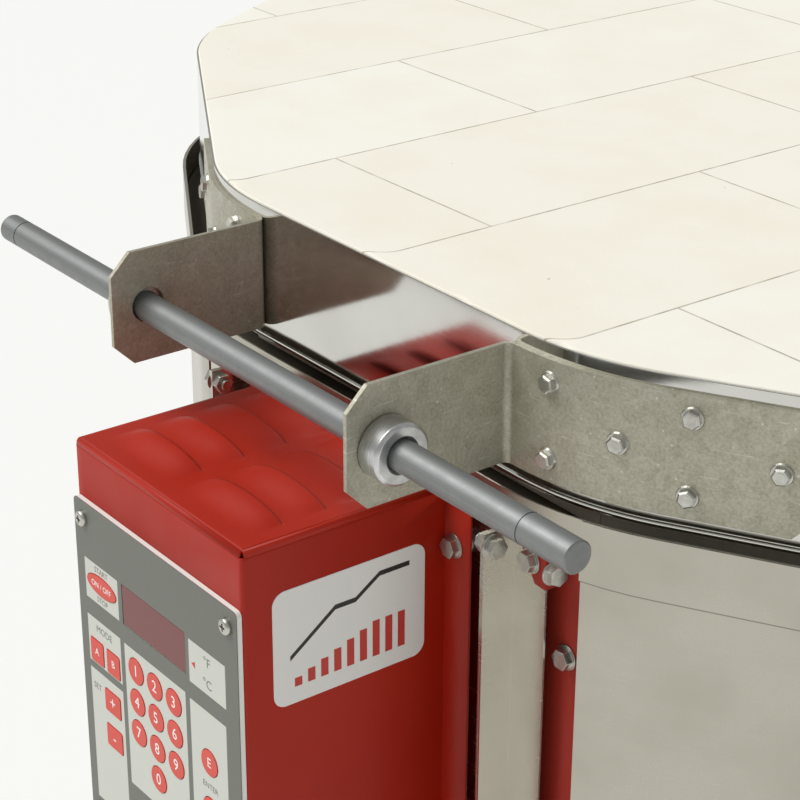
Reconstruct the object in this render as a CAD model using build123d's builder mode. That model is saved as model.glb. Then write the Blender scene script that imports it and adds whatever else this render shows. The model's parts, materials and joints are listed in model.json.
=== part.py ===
"""Twelve-sided top-loading ceramic kiln, built as separate pieces.

Millimetres, +Z up. The front of the kiln, with its control case, faces -Y. The origin is
on the floor, under the middle of the whole kiln.
"""
from build123d import *
from math import atan2, cos, radians, sin, tan
import os

# Plan of the kiln
SIDES = 12
TURN = 360 / SIDES
LID_APOTHEM = 461.6
LID_CORNER_RADIUS = 130.0
FIT_GAP = 0.4

# Heights
STAND_HEIGHT = 230.0
FLOOR_THICKNESS = 76.2
COURSES = 3
COURSE_HEIGHT = 228.6
LID_SEAT_GAP = 0.3
LID_THICKNESS = 63.5
WALL_BOTTOM = STAND_HEIGHT + FLOOR_THICKNESS
WALL_TOP = WALL_BOTTOM + COURSES * COURSE_HEIGHT
LID_BOTTOM = WALL_TOP + LID_SEAT_GAP
LID_TOP = LID_BOTTOM + LID_THICKNESS

# Wall, from the jacket inwards
JACKET_STANDOFF = 10.0
JACKET_SHEET = 0.8
JACKET_HEM_HEIGHT = 25.7
BACKING_THICKNESS = 25.4
BACKING_RECESS = 15.0
WALL_THICKNESS = 76.2
JACKET_OUT = LID_APOTHEM + JACKET_STANDOFF
JACKET_IN = JACKET_OUT - JACKET_SHEET
BACKING_OUT = JACKET_IN - FIT_GAP
BACKING_IN = BACKING_OUT - BACKING_THICKNESS
BRICK_OUT = BACKING_IN - FIT_GAP
BRICK_IN = BRICK_OUT - WALL_THICKNESS
BRICK_GAP = 0.4

# Lid slab and its band
ROW_WIDTH = 114.3
ROW_SHIFT = -4.5
BRICK_LENGTH = 228.6
EVEN_ROW_JOINT = -277.0
ODD_ROW_JOINT = -400.0
JOINTS_PER_ROW = 4
JOINT_WIDTH = 0.8
JOINT_DEPTH = 0.6
LID_EDGE_BREAK = 1.0
BAND_SHEET = 0.9
BAND_SETBACK = 1.0
BAND_HEM_HEIGHT = 2.5
BAND_HEM_OUT = 1.2
BAND_OUT = LID_APOTHEM + BAND_SHEET

# Straps with ears, at the front for the handle and at the back for the hinge
STRAP_SHEET = 2.0
STRAP_HEIGHT = 50.8
STRAP_SETBACK = 6.3
STRAP_BEND_RADIUS = 4.0
STRAP_RUN = 58.0
STRAP_CORNER_CUT = 9.5
EAR_LENGTH = 80.0
EAR_SETBACK = 0.4
ROD_FROM_LID = 62.5
STRAP_MID_REACH = BAND_OUT + STRAP_SHEET / 2
STRAP_OUT = BAND_OUT + STRAP_SHEET
STRAP_TOP = LID_TOP - STRAP_SETBACK
STRAP_BOTTOM = STRAP_TOP - STRAP_HEIGHT
STRAP_MIDDLE = STRAP_TOP - STRAP_HEIGHT / 2
ROD_REACH = LID_APOTHEM + ROD_FROM_LID

# Screws in the straps: runs from the middle of the corner, heights from the strap's middle
STRAP_SCREWS = ((-16.0, 16.0), (-16.0, -16.0), (15.4, 0.0), (43.7, 16.0), (43.7, -16.0), (78.0, 0.0))
SCREW_RADIUS = 2.1
SCREW_LENGTH = 19.0
BODY_SCREW_LENGTH = 16.0
SCREW_HOLE_BEYOND = 1.0
SCREW_HOLE_GAP = 0.15
WASHER_RADIUS = 5.4
WASHER_THICKNESS = 0.9
HEX_RADIUS = 4.5
HEX_HEIGHT = 3.6

# Rods and collars
ROD_RADIUS = 6.35
HANDLE_LENGTH = 400.0
HANDLE_SHIFT = -6.0
HANDLE_BORE_RADIUS = 7.8
HANDLE_REST_GAP = 0.3
HANDLE_GROOVE_WIDTH = 0.8
HANDLE_GROOVE_DEPTH = 0.3
HANDLE_GROOVE_RIGHT = 26.0
HANDLE_GROOVE_LEFT = 13.0
ROD_END_BREAK = 0.6
COLLAR_RADIUS = 12.7
COLLAR_WIDTH = 11.1
COLLAR_BREAK = 1.3
COLLAR_SIDE_GAP = 0.4
COLLAR_FIT = 0.05
HINGE_FIT = 0.08
HANDLE_MIDDLE = STRAP_MIDDLE - (HANDLE_BORE_RADIUS - ROD_RADIUS - HANDLE_REST_GAP)

# Hinge bracket at the back
BRACKET_SHEET = 2.5
BRACKET_GAP = 4.5
BRACKET_TOP_DROP = 32.0
BRACKET_HEIGHT = 110.0
BRACKET_FOOT_RADIUS = 8.4
BRACKET_HUB_RADIUS = 18.0
STOP_RADIUS = 5.0
STOP_LOBE_RADIUS = 9.0
STOP_ANGLE = 97.0
STOP_ALONG_EAR = 45.0
STOP_GAP = 0.3
BRACKET_SCREW_X = 60.0
BRACKET_SCREW_INSET = 20.0
HINGE_ROD_STICKOUT = 6.0
STOP_FROM_EAR = STRAP_HEIGHT / 2 + STOP_RADIUS + STOP_GAP
STOP_OUT = STOP_FROM_EAR * sin(radians(STOP_ANGLE)) - STOP_ALONG_EAR * cos(radians(STOP_ANGLE))
STOP_UP = STOP_FROM_EAR * cos(radians(STOP_ANGLE)) + STOP_ALONG_EAR * sin(radians(STOP_ANGLE))

# Element grooves, elements and their pins
GROOVES = 2
GROOVE_DEPTH = 16.0
GROOVE_HEIGHT = 15.0
ELEMENT_RADIUS = 6.0
ELEMENT_SEAT_GAP = 0.2
ELEMENT_END_X = 20.0
PIN_RADIUS = 2.5
PIN_X = 17.2
PIN_LENGTH = 120.0
PIN_NUT_RADIUS = 5.0
PIN_NUT_THICKNESS = 5.0
PIN_NUT_SETBACK = 6.0
INSULATOR_RADIUS = 5.5
INSULATOR_FIT = 0.3
INSULATOR_STICKOUT = 3.0
GROOVE_APOTHEM = BRICK_IN + GROOVE_DEPTH
ELEMENT_APOTHEM = GROOVE_APOTHEM - ELEMENT_RADIUS - ELEMENT_SEAT_GAP
PIN_END = ELEMENT_APOTHEM - PIN_RADIUS + PIN_LENGTH

# Front of the body: mounting plate, panels, closure hardware
WINDOW_HALF_WIDTH = 131.4
RAIL_HEIGHT = 12.5
PLATE_SHEET = 1.5
PLATE_SIDE_GAP = 1.4
PLATE_TOP_GAP = 1.5
PLATE_INSET = 8.3
PLATE_OUT = JACKET_OUT - PLATE_INSET
PLATE_IN = PLATE_OUT - PLATE_SHEET
PLATE_HALF_WIDTH = WINDOW_HALF_WIDTH - PLATE_SIDE_GAP
PLATE_TOP = WALL_TOP - RAIL_HEIGHT - PLATE_TOP_GAP
PLATE_SCREW_X = 124.2
PLATE_SCREW_ROWS = 4
PLATE_SCREW_INSET = 50.0
CHANNEL_SHEET = 1.0
CHANNEL_HALF_WIDTH = 97.0
FLANGE_DEPTH = 21.2
STRIP_OUTER_X = 119.0
STRIP_STANDOFF = 6.2
STRIP_LEAN = 1.6
FLANGE_FIT = 0.1
FLANGE_BOLT_ROWS = 4
FLANGE_BOLT_SETBACK = 4.2
FLANGE_BOLT_DROP = 20.0
CLOSURE_SHEET = 1.5
CLOSURE_TOP_WIDTH = 18.0
CLOSURE_FOOT_WIDTH = 5.0
CLOSURE_HEIGHT = 18.5
CLOSURE_SIDE_GAP = 0.2
CLOSURE_LEG_DEPTH = 7.0
CLOSURE_SCREW_LENGTH = 5.0
CLOSURE_SCREW_INSET = 7.0
CLOSURE_SCREW_RISE = 9.5
CLOSURE_SIDE_SCREW_RISE = 7.0
CLOSURE_SIDE_SCREW_DEPTH = 2.2
BOLT_RADIUS = 2.4
BOLT_HOLE_GAP = 0.2
NUT_THICKNESS = 3.8
BOLT_STICKOUT = 2.0
CHANNEL_FACE = PLATE_OUT + CHANNEL_SHEET
CHANNEL_OUT = CHANNEL_FACE + FLANGE_DEPTH

# Control case
CASE_SHIFT = -8.2
CASE_WIDTH = 127.0
CASE_DEPTH = 100.2
CASE_SHEET = 1.2
CASE_STANDOFF = 6.1
CASE_DROP = 13.2
CASE_RISE = 32.6
FLANGE_WIDTH = 16.0
FLANGE_END_GAP = 4.0
CASE_SCREW_IN_FLANGE = 6.4
CASE_SCREW_INSET = 26.0
CASE_SCREW_ROWS = 3
SPACER_RADIUS = 5.0
LOUVRE_COLUMNS = 2
LOUVRE_ROWS = 4
LOUVRE_LENGTH = 50.0
LOUVRE_HEIGHT = 6.0
LOUVRE_AXIS_DROP = 8.0
LOUVRE_COLUMN_PITCH = 58.0
LOUVRE_ROW_PITCH = 21.0
LOUVRE_FIRST_ROW = 26.0
VENT_WIDTH = 5.0
VENT_LENGTH = 60.0
VENT_COUNT = 3
VENT_PITCH = 16.0
VENTS_FROM_FRONT = 33.0
CASE_BACK = PLATE_OUT + CASE_STANDOFF
CASE_FRONT = CASE_BACK + CASE_DEPTH
CASE_TOP = WALL_TOP - CASE_DROP
CASE_BOTTOM = WALL_BOTTOM + CASE_RISE
CASE_HEIGHT = CASE_TOP - CASE_BOTTOM

# Keypad plate; places on it are right of its left edge and down from its top, on a plate of drawn width
FACE_SIDE_GAP = 0.5
FACE_DRAWN_WIDTH = 126.0
FACE_HEIGHT = 165.0
FACE_THICKNESS = 2.6
FACE_DROP = 26.0
FACE_CORNER_RADIUS = 2.5
FACE_SCREW_INSET_X = 7.0
FACE_SCREW_INSET_Y = 8.5
FACE_SCREW_HEAD_RADIUS = 3.6
FACE_SCREW_HEAD_HEIGHT = 2.2
FACE_SCREW_HEAD_ROUNDING = 1.5
FACE_SCREW_RADIUS = 1.8
FACE_SCREW_LENGTH = 9.0
FACE_SCREW_CROSS_WIDTH = 1.0
FACE_SCREW_CROSS_DEPTH = 1.3
CASE_CUTOUT_INSET = 5.0
CASE_CUTOUT_HEIGHT = 128.0
DISPLAY_PLACE = (62.0, 36.6)
DISPLAY_WIDTH = 49.3
DISPLAY_HEIGHT = 19.3
DISPLAY_FIT = 0.2
KEY_FIT = 0.3
KEY_PROUD = 0.3
KEY_FLANGE = 0.7
KEY_FLANGE_THICKNESS = 0.8
KEY_BACK_GAP = 0.1
KEY_CORNER_RADIUS = 1.2
ROUND_KEY = 12.0
START_KEY = (24.0, 9.2)
START_KEY_PLACE = (20.2, 36.6)
MODE_KEY = (10.7, 11.5)
MODE_KEY_PLACES = ((13.2, 71.6), (26.8, 71.6))
OPTION_KEY = (13.0, 11.0)
OPTION_KEY_PLACES = ((24.5, 92.5), (24.5, 110.5))
ENTRY_KEY_PLACES = ((102.6, 80.7), (102.6, 104.0))
DIGIT_COLUMNS = (46.1, 61.1, 76.1)
DIGIT_FIRST_ROW = 65.3
DIGIT_ROW_PITCH = 15.4
FACE_WIDTH = CASE_WIDTH - 2 * FACE_SIDE_GAP
FACE_REACH = CASE_FRONT + FACE_THICKNESS
FACE_TOP = CASE_TOP - FACE_DROP
FACE_SCREW_PLACES = [(x, y) for x in (FACE_SCREW_INSET_X, FACE_DRAWN_WIDTH - FACE_SCREW_INSET_X)
                     for y in (FACE_SCREW_INSET_Y, FACE_HEIGHT - FACE_SCREW_INSET_Y)]

# Inside the control case
BOARD_SIDE_GAP = 9.3
BOARD_HEIGHT = 122.0
BOARD_THICKNESS = 1.6
BOARD_BEHIND_FACE = 7.0
STANDOFF_RADIUS = 3.0
STANDOFF_INSET = 4.0
LED_DEPTH = 5.6
RELAY_SIZE = (58.0, 46.0, 30.0)
TERMINAL_BLOCK_SIZE = (76.0, 30.0, 24.0)
INLET_RADIUS = 11.0
INLET_BORE_RADIUS = 6.0
INLET_HEX_RADIUS = 16.0
INLET_HEX_HEIGHT = 8.0
INLET_NUT_HEIGHT = 4.0
INLET_LENGTH = 26.0
INLET_INSIDE = 9.0
INLET_FROM_BACK = 30.0

# Label on the right side of the case
LABEL_WIDTH = 75.0
LABEL_HEIGHT = 52.5
LABEL_THICKNESS = 0.3
LABEL_CORNER_RADIUS = 6.0
LABEL_FROM_FRONT = 13.5
LABEL_DROP = 23.0

# Thermocouple and peepholes
THERMOCOUPLE_RADIUS = 4.0
THERMOCOUPLE_TIP_INSIDE = 32.0
THERMOCOUPLE_BLOCK = (26.0, 18.0, 14.0)
HOLE_FIT = 0.4
PEEPHOLE_ANGLE = 60.0
PEEPHOLE_COURSES = (0, 2)
PLUG_RADIUS = 12.5
PLUG_TIP_RADIUS = 10.5
PLUG_HEAD_RADIUS = 20.0
PLUG_HEAD_THICKNESS = 14.0
PLUG_SEAT_GAP = 0.3
PLUG_INSET = 6.0
PLUG_EDGE_RADIUS = 2.5

# Stand
RING_SETBACK = 21.6
RING_SHEET = 5.0
RING_HEIGHT = 38.0
BAR_Y = 150.0
ANGLE_WIDTH = 40.0
ANGLE_SHEET = 4.0
FOOT_RADIUS = 27.0
FOOT_HEIGHT = 12.0
FOOT_EDGE_BREAK = 2.0
FOOT_INSET = 14.0
RING_APOTHEM = LID_APOTHEM - RING_SETBACK

# The origin is midway between the farthest points in front and behind
FRONT_REACH = FACE_REACH + FACE_SCREW_HEAD_HEIGHT
REAR_REACH = ROD_REACH + STOP_OUT + STOP_LOBE_RADIUS
AXIS_Y = (FRONT_REACH - REAR_REACH) / 2


def level_plane(height):
    """Horizontal plane, centred on the kiln's axis."""
    return Plane(origin=(0, AXIS_Y, height))


def side_plane(x):
    """Plane facing +X, with Y from the kiln's axis and Z from the floor."""
    return Plane(origin=(x, AXIS_Y, 0), x_dir=(0, 1, 0), z_dir=(1, 0, 0))


def facet_plane(angle, reach):
    """Plane facing outwards from the axis; angle 0 is the front, and X runs to the right."""
    turn = radians(angle)
    origin = (reach * sin(turn), AXIS_Y - reach * cos(turn), 0)
    return Plane(origin=origin, x_dir=(cos(turn), sin(turn), 0), z_dir=(sin(turn), -cos(turn), 0))


def corner_radius(apothem):
    """Corner radius of an outline that runs parallel to the lid's edge."""
    return LID_CORNER_RADIUS + apothem - LID_APOTHEM


def half_straight(apothem):
    """Half the straight length of one side of a rounded outline."""
    return (apothem - corner_radius(apothem)) * tan(radians(TURN / 2))


def corner_plane(side, run, reach, height):
    """Tangent plane on a rounded corner beside the front, run mm past its middle."""
    radius = corner_radius(reach)
    half_arc = radians(TURN / 2)
    past = max(abs(run) - radius * half_arc, 0) * (1 if run > 0 else -1)
    turn = side * (radians(TURN / 2) + (run - past) / radius)
    bisector = side * radians(TURN / 2)
    centre = (reach - radius) / cos(half_arc)
    x = centre * sin(bisector) + radius * sin(turn) + side * past * cos(turn)
    y = -centre * cos(bisector) - radius * cos(turn) + side * past * sin(turn)
    return Plane(origin=(x, AXIS_Y + y, height), x_dir=(cos(turn), sin(turn), 0),
                 z_dir=(sin(turn), -cos(turn), 0))


def behind(plane):
    """The same place on the back of the kiln as a plane has on the front."""
    origin = (plane.origin.X, 2 * AXIS_Y - plane.origin.Y, plane.origin.Z)
    x_dir = (-plane.x_dir.X, plane.x_dir.Y, 0)
    return Plane(origin=origin, x_dir=x_dir, z_dir=(plane.z_dir.X, -plane.z_dir.Y, 0))


def sharp_outline(apothem):
    """Twelve-sided outline with sharp corners."""
    with BuildSketch() as outline:
        RegularPolygon(apothem, SIDES, major_radius=False, rotation=TURN / 2)
    return outline.sketch


def round_outline(apothem):
    """Twelve-sided outline with rounded corners."""
    with BuildSketch() as outline:
        RegularPolygon(apothem, SIDES, major_radius=False, rotation=TURN / 2)
        fillet(outline.vertices(), corner_radius(apothem))
    return outline.sketch


def face_place(place):
    """Place on the keypad plate, as local X and height on the front."""
    return (CASE_SHIFT + (place[0] / FACE_DRAWN_WIDTH - 0.5) * FACE_WIDTH, FACE_TOP - place[1])


def hex_screws(planes, length):
    """Hex washer-head screws, each seated on its own plane."""
    with BuildPart() as screws:
        with BuildSketch(*planes):
            Circle(WASHER_RADIUS)
        extrude(amount=WASHER_THICKNESS)
        with BuildSketch(*[plane.offset(WASHER_THICKNESS) for plane in planes]):
            RegularPolygon(HEX_RADIUS, 6)
        extrude(amount=HEX_HEIGHT)
        with BuildSketch(*planes):
            Circle(SCREW_RADIUS)
        extrude(amount=-length)
    return screws.part


def planes_on(face, places):
    """Planes parallel to a face, one at each place on it."""
    return [Plane(origin=face.from_local_coords((x, z, 0)), x_dir=face.x_dir, z_dir=face.z_dir)
            for x, z in places]


def course_bottom(index):
    """Height of the underside of one course of wall bricks."""
    return WALL_BOTTOM + index * COURSE_HEIGHT


def groove_heights(index):
    """Heights of the middles of the element grooves in one course."""
    pitch = COURSE_HEIGHT / GROOVES
    return [course_bottom(index) + pitch * (number + 0.5) for number in range(GROOVES)]


ALL_GROOVES = [height for index in range(COURSES) for height in groove_heights(index)]
PIN_PLACES = [(side * PIN_X, height) for height in ALL_GROOVES for side in (-1, 1)]
THERMOCOUPLE_PLACE = (0, course_bottom(COURSES - 1) + COURSE_HEIGHT / 2)
PEEPHOLE_HEIGHTS = [course_bottom(index) + COURSE_HEIGHT / 2 for index in PEEPHOLE_COURSES]
EAR_X = half_straight(STRAP_MID_REACH) - STRAP_BEND_RADIUS - EAR_SETBACK
FRONT_SCREW_PLANES = [corner_plane(side, run, STRAP_OUT, STRAP_MIDDLE + up)
                      for side in (-1, 1) for run, up in STRAP_SCREWS]
REAR_SCREW_PLANES = [behind(plane) for plane in FRONT_SCREW_PLANES]
LID_SCREW_PLANES = FRONT_SCREW_PLANES + REAR_SCREW_PLANES
ACROSS_AXIS = Plane.XZ.offset(-AXIS_Y)

# Lid slab of cemented bricks, with joint lines in its top and bottom
with BuildPart() as lid_bricks:
    with BuildSketch(level_plane(LID_BOTTOM)):
        add(round_outline(LID_APOTHEM))
    extrude(amount=LID_THICKNESS)
    chamfer(lid_bricks.faces().sort_by(Axis.Z)[-1].edges(), LID_EDGE_BREAK)
    row_count = int(LID_APOTHEM // ROW_WIDTH) + 1
    for face_height, cut in ((LID_TOP, -JOINT_DEPTH), (LID_BOTTOM, JOINT_DEPTH)):
        with BuildSketch(level_plane(face_height)):
            for row in range(-row_count, row_count + 1):
                with Locations((ROW_SHIFT + row * ROW_WIDTH, 0)):
                    Rectangle(JOINT_WIDTH, 2 * LID_APOTHEM)
                first_joint = EVEN_ROW_JOINT if row % 2 == 0 else ODD_ROW_JOINT
                row_middle = ROW_SHIFT + (row + 0.5) * ROW_WIDTH
                for brick in range(JOINTS_PER_ROW):
                    with Locations((row_middle, first_joint + brick * BRICK_LENGTH)):
                        Rectangle(ROW_WIDTH, JOINT_WIDTH)
        extrude(amount=cut, mode=Mode.SUBTRACT)
    with BuildSketch(*LID_SCREW_PLANES):
        Circle(SCREW_RADIUS + SCREW_HOLE_GAP)
    extrude(amount=-SCREW_LENGTH - SCREW_HOLE_BEYOND, mode=Mode.SUBTRACT)
lid_bricks.part.label = "lid_bricks"

# Bright stainless band round the lid, hemmed along its lower edge
with BuildPart() as lid_band:
    with BuildSketch(level_plane(LID_BOTTOM)):
        add(round_outline(BAND_OUT))
        add(round_outline(LID_APOTHEM), mode=Mode.SUBTRACT)
    extrude(amount=LID_THICKNESS - BAND_SETBACK)
    with BuildSketch(level_plane(LID_BOTTOM)):
        add(round_outline(BAND_OUT + BAND_HEM_OUT))
        add(round_outline(LID_APOTHEM), mode=Mode.SUBTRACT)
    extrude(amount=BAND_HEM_HEIGHT)
    with BuildSketch(*LID_SCREW_PLANES):
        Circle(SCREW_RADIUS + SCREW_HOLE_GAP)
    extrude(amount=-SCREW_LENGTH, mode=Mode.SUBTRACT)
lid_band.part.label = "lid_band"


def ear_strap(bore_radius):
    """Right-hand strap with its ear: one sheet bent outwards at the start of the corner."""
    with BuildPart() as strap:
        with BuildSketch(level_plane(STRAP_BOTTOM)):
            with BuildLine():
                ear_start = (EAR_X, -LID_APOTHEM - EAR_LENGTH)
                ear = Line(ear_start, (EAR_X, -STRAP_MID_REACH - STRAP_BEND_RADIUS))
                bend = JernArc(ear @ 1, ear % 1, STRAP_BEND_RADIUS, -90)
                flat = Line(bend @ 1, (half_straight(STRAP_MID_REACH), -STRAP_MID_REACH))
                corner = JernArc(flat @ 1, flat % 1, corner_radius(STRAP_MID_REACH), TURN)
                Line(corner @ 1, corner @ 1 + (corner % 1) * STRAP_RUN)
            trace(line_width=STRAP_SHEET)
        extrude(amount=STRAP_HEIGHT)
        chamfer(strap.edges().filter_by(Axis.X).group_by(Axis.Y)[0], STRAP_CORNER_CUT)
        across_sheet = strap.edges().filter_by(lambda edge: edge.length < STRAP_SHEET * 1.01)
        chamfer(across_sheet.group_by(Axis.X)[-1], STRAP_CORNER_CUT)
        with BuildSketch(side_plane(EAR_X)):
            with Locations((-ROD_REACH, STRAP_MIDDLE)):
                Circle(bore_radius)
        extrude(amount=STRAP_SHEET, both=True, mode=Mode.SUBTRACT)
        with BuildSketch(*FRONT_SCREW_PLANES):
            Circle(SCREW_RADIUS + SCREW_HOLE_GAP)
        extrude(amount=-STRAP_SHEET * 2, mode=Mode.SUBTRACT)
    return strap.part


# Galvanised handle straps at the front, left and right
with BuildPart() as handle_strap_right:
    add(ear_strap(HANDLE_BORE_RADIUS))
handle_strap_right.part.label = "handle_strap_right"

with BuildPart() as handle_strap_left:
    mirror(handle_strap_right.part, about=Plane.YZ)
handle_strap_left.part.label = "handle_strap_left"

# Galvanised hinge straps at the back, left and right
with BuildPart() as hinge_strap_right:
    mirror(ear_strap(ROD_RADIUS + HINGE_FIT), about=ACROSS_AXIS)
hinge_strap_right.part.label = "hinge_strap_right"

with BuildPart() as hinge_strap_left:
    mirror(hinge_strap_right.part, about=Plane.YZ)
hinge_strap_left.part.label = "hinge_strap_left"

# Hex screws that hold the straps to the lid
with BuildPart() as strap_screws:
    add(hex_screws(LID_SCREW_PLANES, SCREW_LENGTH))
strap_screws.part.label = "strap_screws"


def shaft_collar(inner_x, direction, y, z):
    """Shaft collar with its inner face at inner_x, on a rod that runs along X."""
    plane = Plane(origin=(inner_x, AXIS_Y + y, z), x_dir=(0, 1, 0), z_dir=(direction, 0, 0))
    with BuildPart() as collar:
        with BuildSketch(plane):
            Circle(COLLAR_RADIUS)
            Circle(ROD_RADIUS + COLLAR_FIT, mode=Mode.SUBTRACT)
        extrude(amount=COLLAR_WIDTH)
        outer_face = collar.faces().sort_by(Axis.X)[-1 if direction > 0 else 0]
        chamfer(outer_face.edges(), COLLAR_BREAK)
    return collar.part


# Handle rod, which hangs at the bottom of its bores
with BuildPart() as handle_rod:
    with BuildSketch(side_plane(HANDLE_SHIFT)):
        with Locations((-ROD_REACH, HANDLE_MIDDLE)):
            Circle(ROD_RADIUS)
    extrude(amount=HANDLE_LENGTH / 2, both=True)
    chamfer(handle_rod.edges().filter_by(GeomType.CIRCLE), ROD_END_BREAK)
    right_end = HANDLE_SHIFT + HANDLE_LENGTH / 2
    left_end = HANDLE_SHIFT - HANDLE_LENGTH / 2
    for groove_x in (right_end - HANDLE_GROOVE_RIGHT, left_end + HANDLE_GROOVE_LEFT):
        with BuildSketch(side_plane(groove_x)):
            with Locations((-ROD_REACH, HANDLE_MIDDLE)):
                Circle(ROD_RADIUS * 2)
                Circle(ROD_RADIUS - HANDLE_GROOVE_DEPTH, mode=Mode.SUBTRACT)
        extrude(amount=HANDLE_GROOVE_WIDTH, mode=Mode.SUBTRACT)
handle_rod.part.label = "handle_rod"

handle_collar_x = EAR_X + STRAP_SHEET / 2 + COLLAR_SIDE_GAP
with BuildPart() as handle_collars:
    add(shaft_collar(handle_collar_x, 1, -ROD_REACH, HANDLE_MIDDLE))
    add(shaft_collar(-handle_collar_x, -1, -ROD_REACH, HANDLE_MIDDLE))
handle_collars.part.label = "handle_collars"

# Hinge bracket: a plate on the jacket, two ears outside the lid's ears, and a stop bar
BRACKET_EAR_X = EAR_X + STRAP_SHEET / 2 + BRACKET_GAP
BRACKET_TOP = WALL_TOP - BRACKET_TOP_DROP
BRACKET_BOTTOM = BRACKET_TOP - BRACKET_HEIGHT
BRACKET_HALF_WIDTH = BRACKET_EAR_X + BRACKET_SHEET
BRACKET_SCREWS = [(x, z) for x in (-BRACKET_SCREW_X, BRACKET_SCREW_X)
                  for z in (BRACKET_BOTTOM + BRACKET_SCREW_INSET, BRACKET_TOP - BRACKET_SCREW_INSET)]
REAR_PLATE = facet_plane(180, JACKET_OUT)
FOOT_REACH = JACKET_OUT + BRACKET_FOOT_RADIUS
with BuildPart() as hinge_bracket:
    with BuildSketch(REAR_PLATE):
        with Locations((0, (BRACKET_TOP + BRACKET_BOTTOM) / 2)):
            Rectangle(2 * BRACKET_HALF_WIDTH, BRACKET_HEIGHT)
        with Locations(*BRACKET_SCREWS):
            Circle(SCREW_RADIUS + SCREW_HOLE_GAP, mode=Mode.SUBTRACT)
    extrude(amount=BRACKET_SHEET)
    for ear_x in (BRACKET_EAR_X, -BRACKET_HALF_WIDTH):
        with BuildSketch(side_plane(ear_x)) as ear_outline:
            with Locations((FOOT_REACH, BRACKET_BOTTOM + BRACKET_FOOT_RADIUS),
                           (FOOT_REACH, BRACKET_TOP - BRACKET_FOOT_RADIUS)):
                Circle(BRACKET_FOOT_RADIUS)
            with Locations((ROD_REACH, STRAP_MIDDLE)):
                Circle(BRACKET_HUB_RADIUS)
            with Locations((ROD_REACH + STOP_OUT, STRAP_MIDDLE + STOP_UP)):
                Circle(STOP_LOBE_RADIUS)
            make_hull(ear_outline.edges())
            with Locations((ROD_REACH, STRAP_MIDDLE)):
                Circle(ROD_RADIUS + COLLAR_FIT, mode=Mode.SUBTRACT)
        extrude(amount=BRACKET_SHEET)
    with BuildSketch(side_plane(0)):
        with Locations((ROD_REACH + STOP_OUT, STRAP_MIDDLE + STOP_UP)):
            Circle(STOP_RADIUS)
    extrude(amount=BRACKET_HALF_WIDTH, both=True)
hinge_bracket.part.label = "hinge_bracket"

hinge_rod_half = BRACKET_HALF_WIDTH + COLLAR_SIDE_GAP + COLLAR_WIDTH + HINGE_ROD_STICKOUT
with BuildPart() as hinge_rod:
    with BuildSketch(side_plane(0)):
        with Locations((ROD_REACH, STRAP_MIDDLE)):
            Circle(ROD_RADIUS)
    extrude(amount=hinge_rod_half, both=True)
    chamfer(hinge_rod.edges().filter_by(GeomType.CIRCLE), ROD_END_BREAK)
hinge_rod.part.label = "hinge_rod"

hinge_collar_x = BRACKET_HALF_WIDTH + COLLAR_SIDE_GAP
with BuildPart() as hinge_collars:
    add(shaft_collar(hinge_collar_x, 1, ROD_REACH, STRAP_MIDDLE))
    add(shaft_collar(-hinge_collar_x, -1, ROD_REACH, STRAP_MIDDLE))
hinge_collars.part.label = "hinge_collars"


def brick_course(index):
    """One course of twelve wall bricks, with element grooves and holes."""
    bottom = course_bottom(index)
    with BuildPart() as course:
        with BuildSketch(level_plane(bottom)):
            add(sharp_outline(BRICK_OUT))
            add(sharp_outline(BRICK_IN), mode=Mode.SUBTRACT)
            with PolarLocations((BRICK_IN + BRICK_OUT) / 2, SIDES, start_angle=TURN / 2):
                Rectangle(WALL_THICKNESS * 2, BRICK_GAP, mode=Mode.SUBTRACT)
        extrude(amount=COURSE_HEIGHT)
        for height in groove_heights(index):
            with BuildSketch(level_plane(height - GROOVE_HEIGHT / 2)):
                add(sharp_outline(GROOVE_APOTHEM))
            extrude(amount=GROOVE_HEIGHT, mode=Mode.SUBTRACT)
        with BuildSketch(facet_plane(0, BRICK_OUT)):
            for height in groove_heights(index):
                with Locations((-PIN_X, height), (PIN_X, height)):
                    Circle(INSULATOR_RADIUS + INSULATOR_FIT)
        extrude(amount=-(BRICK_OUT - GROOVE_APOTHEM), mode=Mode.SUBTRACT)
        if index == COURSES - 1:
            with BuildSketch(facet_plane(0, BRICK_OUT)):
                with Locations(THERMOCOUPLE_PLACE):
                    Circle(THERMOCOUPLE_RADIUS + HOLE_FIT)
            extrude(amount=-WALL_THICKNESS, mode=Mode.SUBTRACT)
        if index in PEEPHOLE_COURSES:
            with BuildSketch(facet_plane(PEEPHOLE_ANGLE, BRICK_OUT)):
                with Locations((0, bottom + COURSE_HEIGHT / 2)):
                    Circle(PLUG_RADIUS + HOLE_FIT)
            extrude(amount=-WALL_THICKNESS, mode=Mode.SUBTRACT)
    return course.part


# Three courses of wall bricks
with BuildPart() as wall_bricks_bottom:
    add(brick_course(0))
wall_bricks_bottom.part.label = "wall_bricks_bottom"

with BuildPart() as wall_bricks_middle:
    add(brick_course(1))
wall_bricks_middle.part.label = "wall_bricks_middle"

with BuildPart() as wall_bricks_top:
    add(brick_course(2))
wall_bricks_top.part.label = "wall_bricks_top"

# Floor slab and its band
with BuildPart() as floor_bricks:
    with BuildSketch(level_plane(STAND_HEIGHT)):
        add(round_outline(LID_APOTHEM))
    extrude(amount=FLOOR_THICKNESS)
floor_bricks.part.label = "floor_bricks"

with BuildPart() as floor_band:
    with BuildSketch(level_plane(STAND_HEIGHT)):
        add(round_outline(BAND_OUT))
        add(round_outline(LID_APOTHEM), mode=Mode.SUBTRACT)
    extrude(amount=FLOOR_THICKNESS - BAND_SETBACK)
floor_band.part.label = "floor_band"

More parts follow.
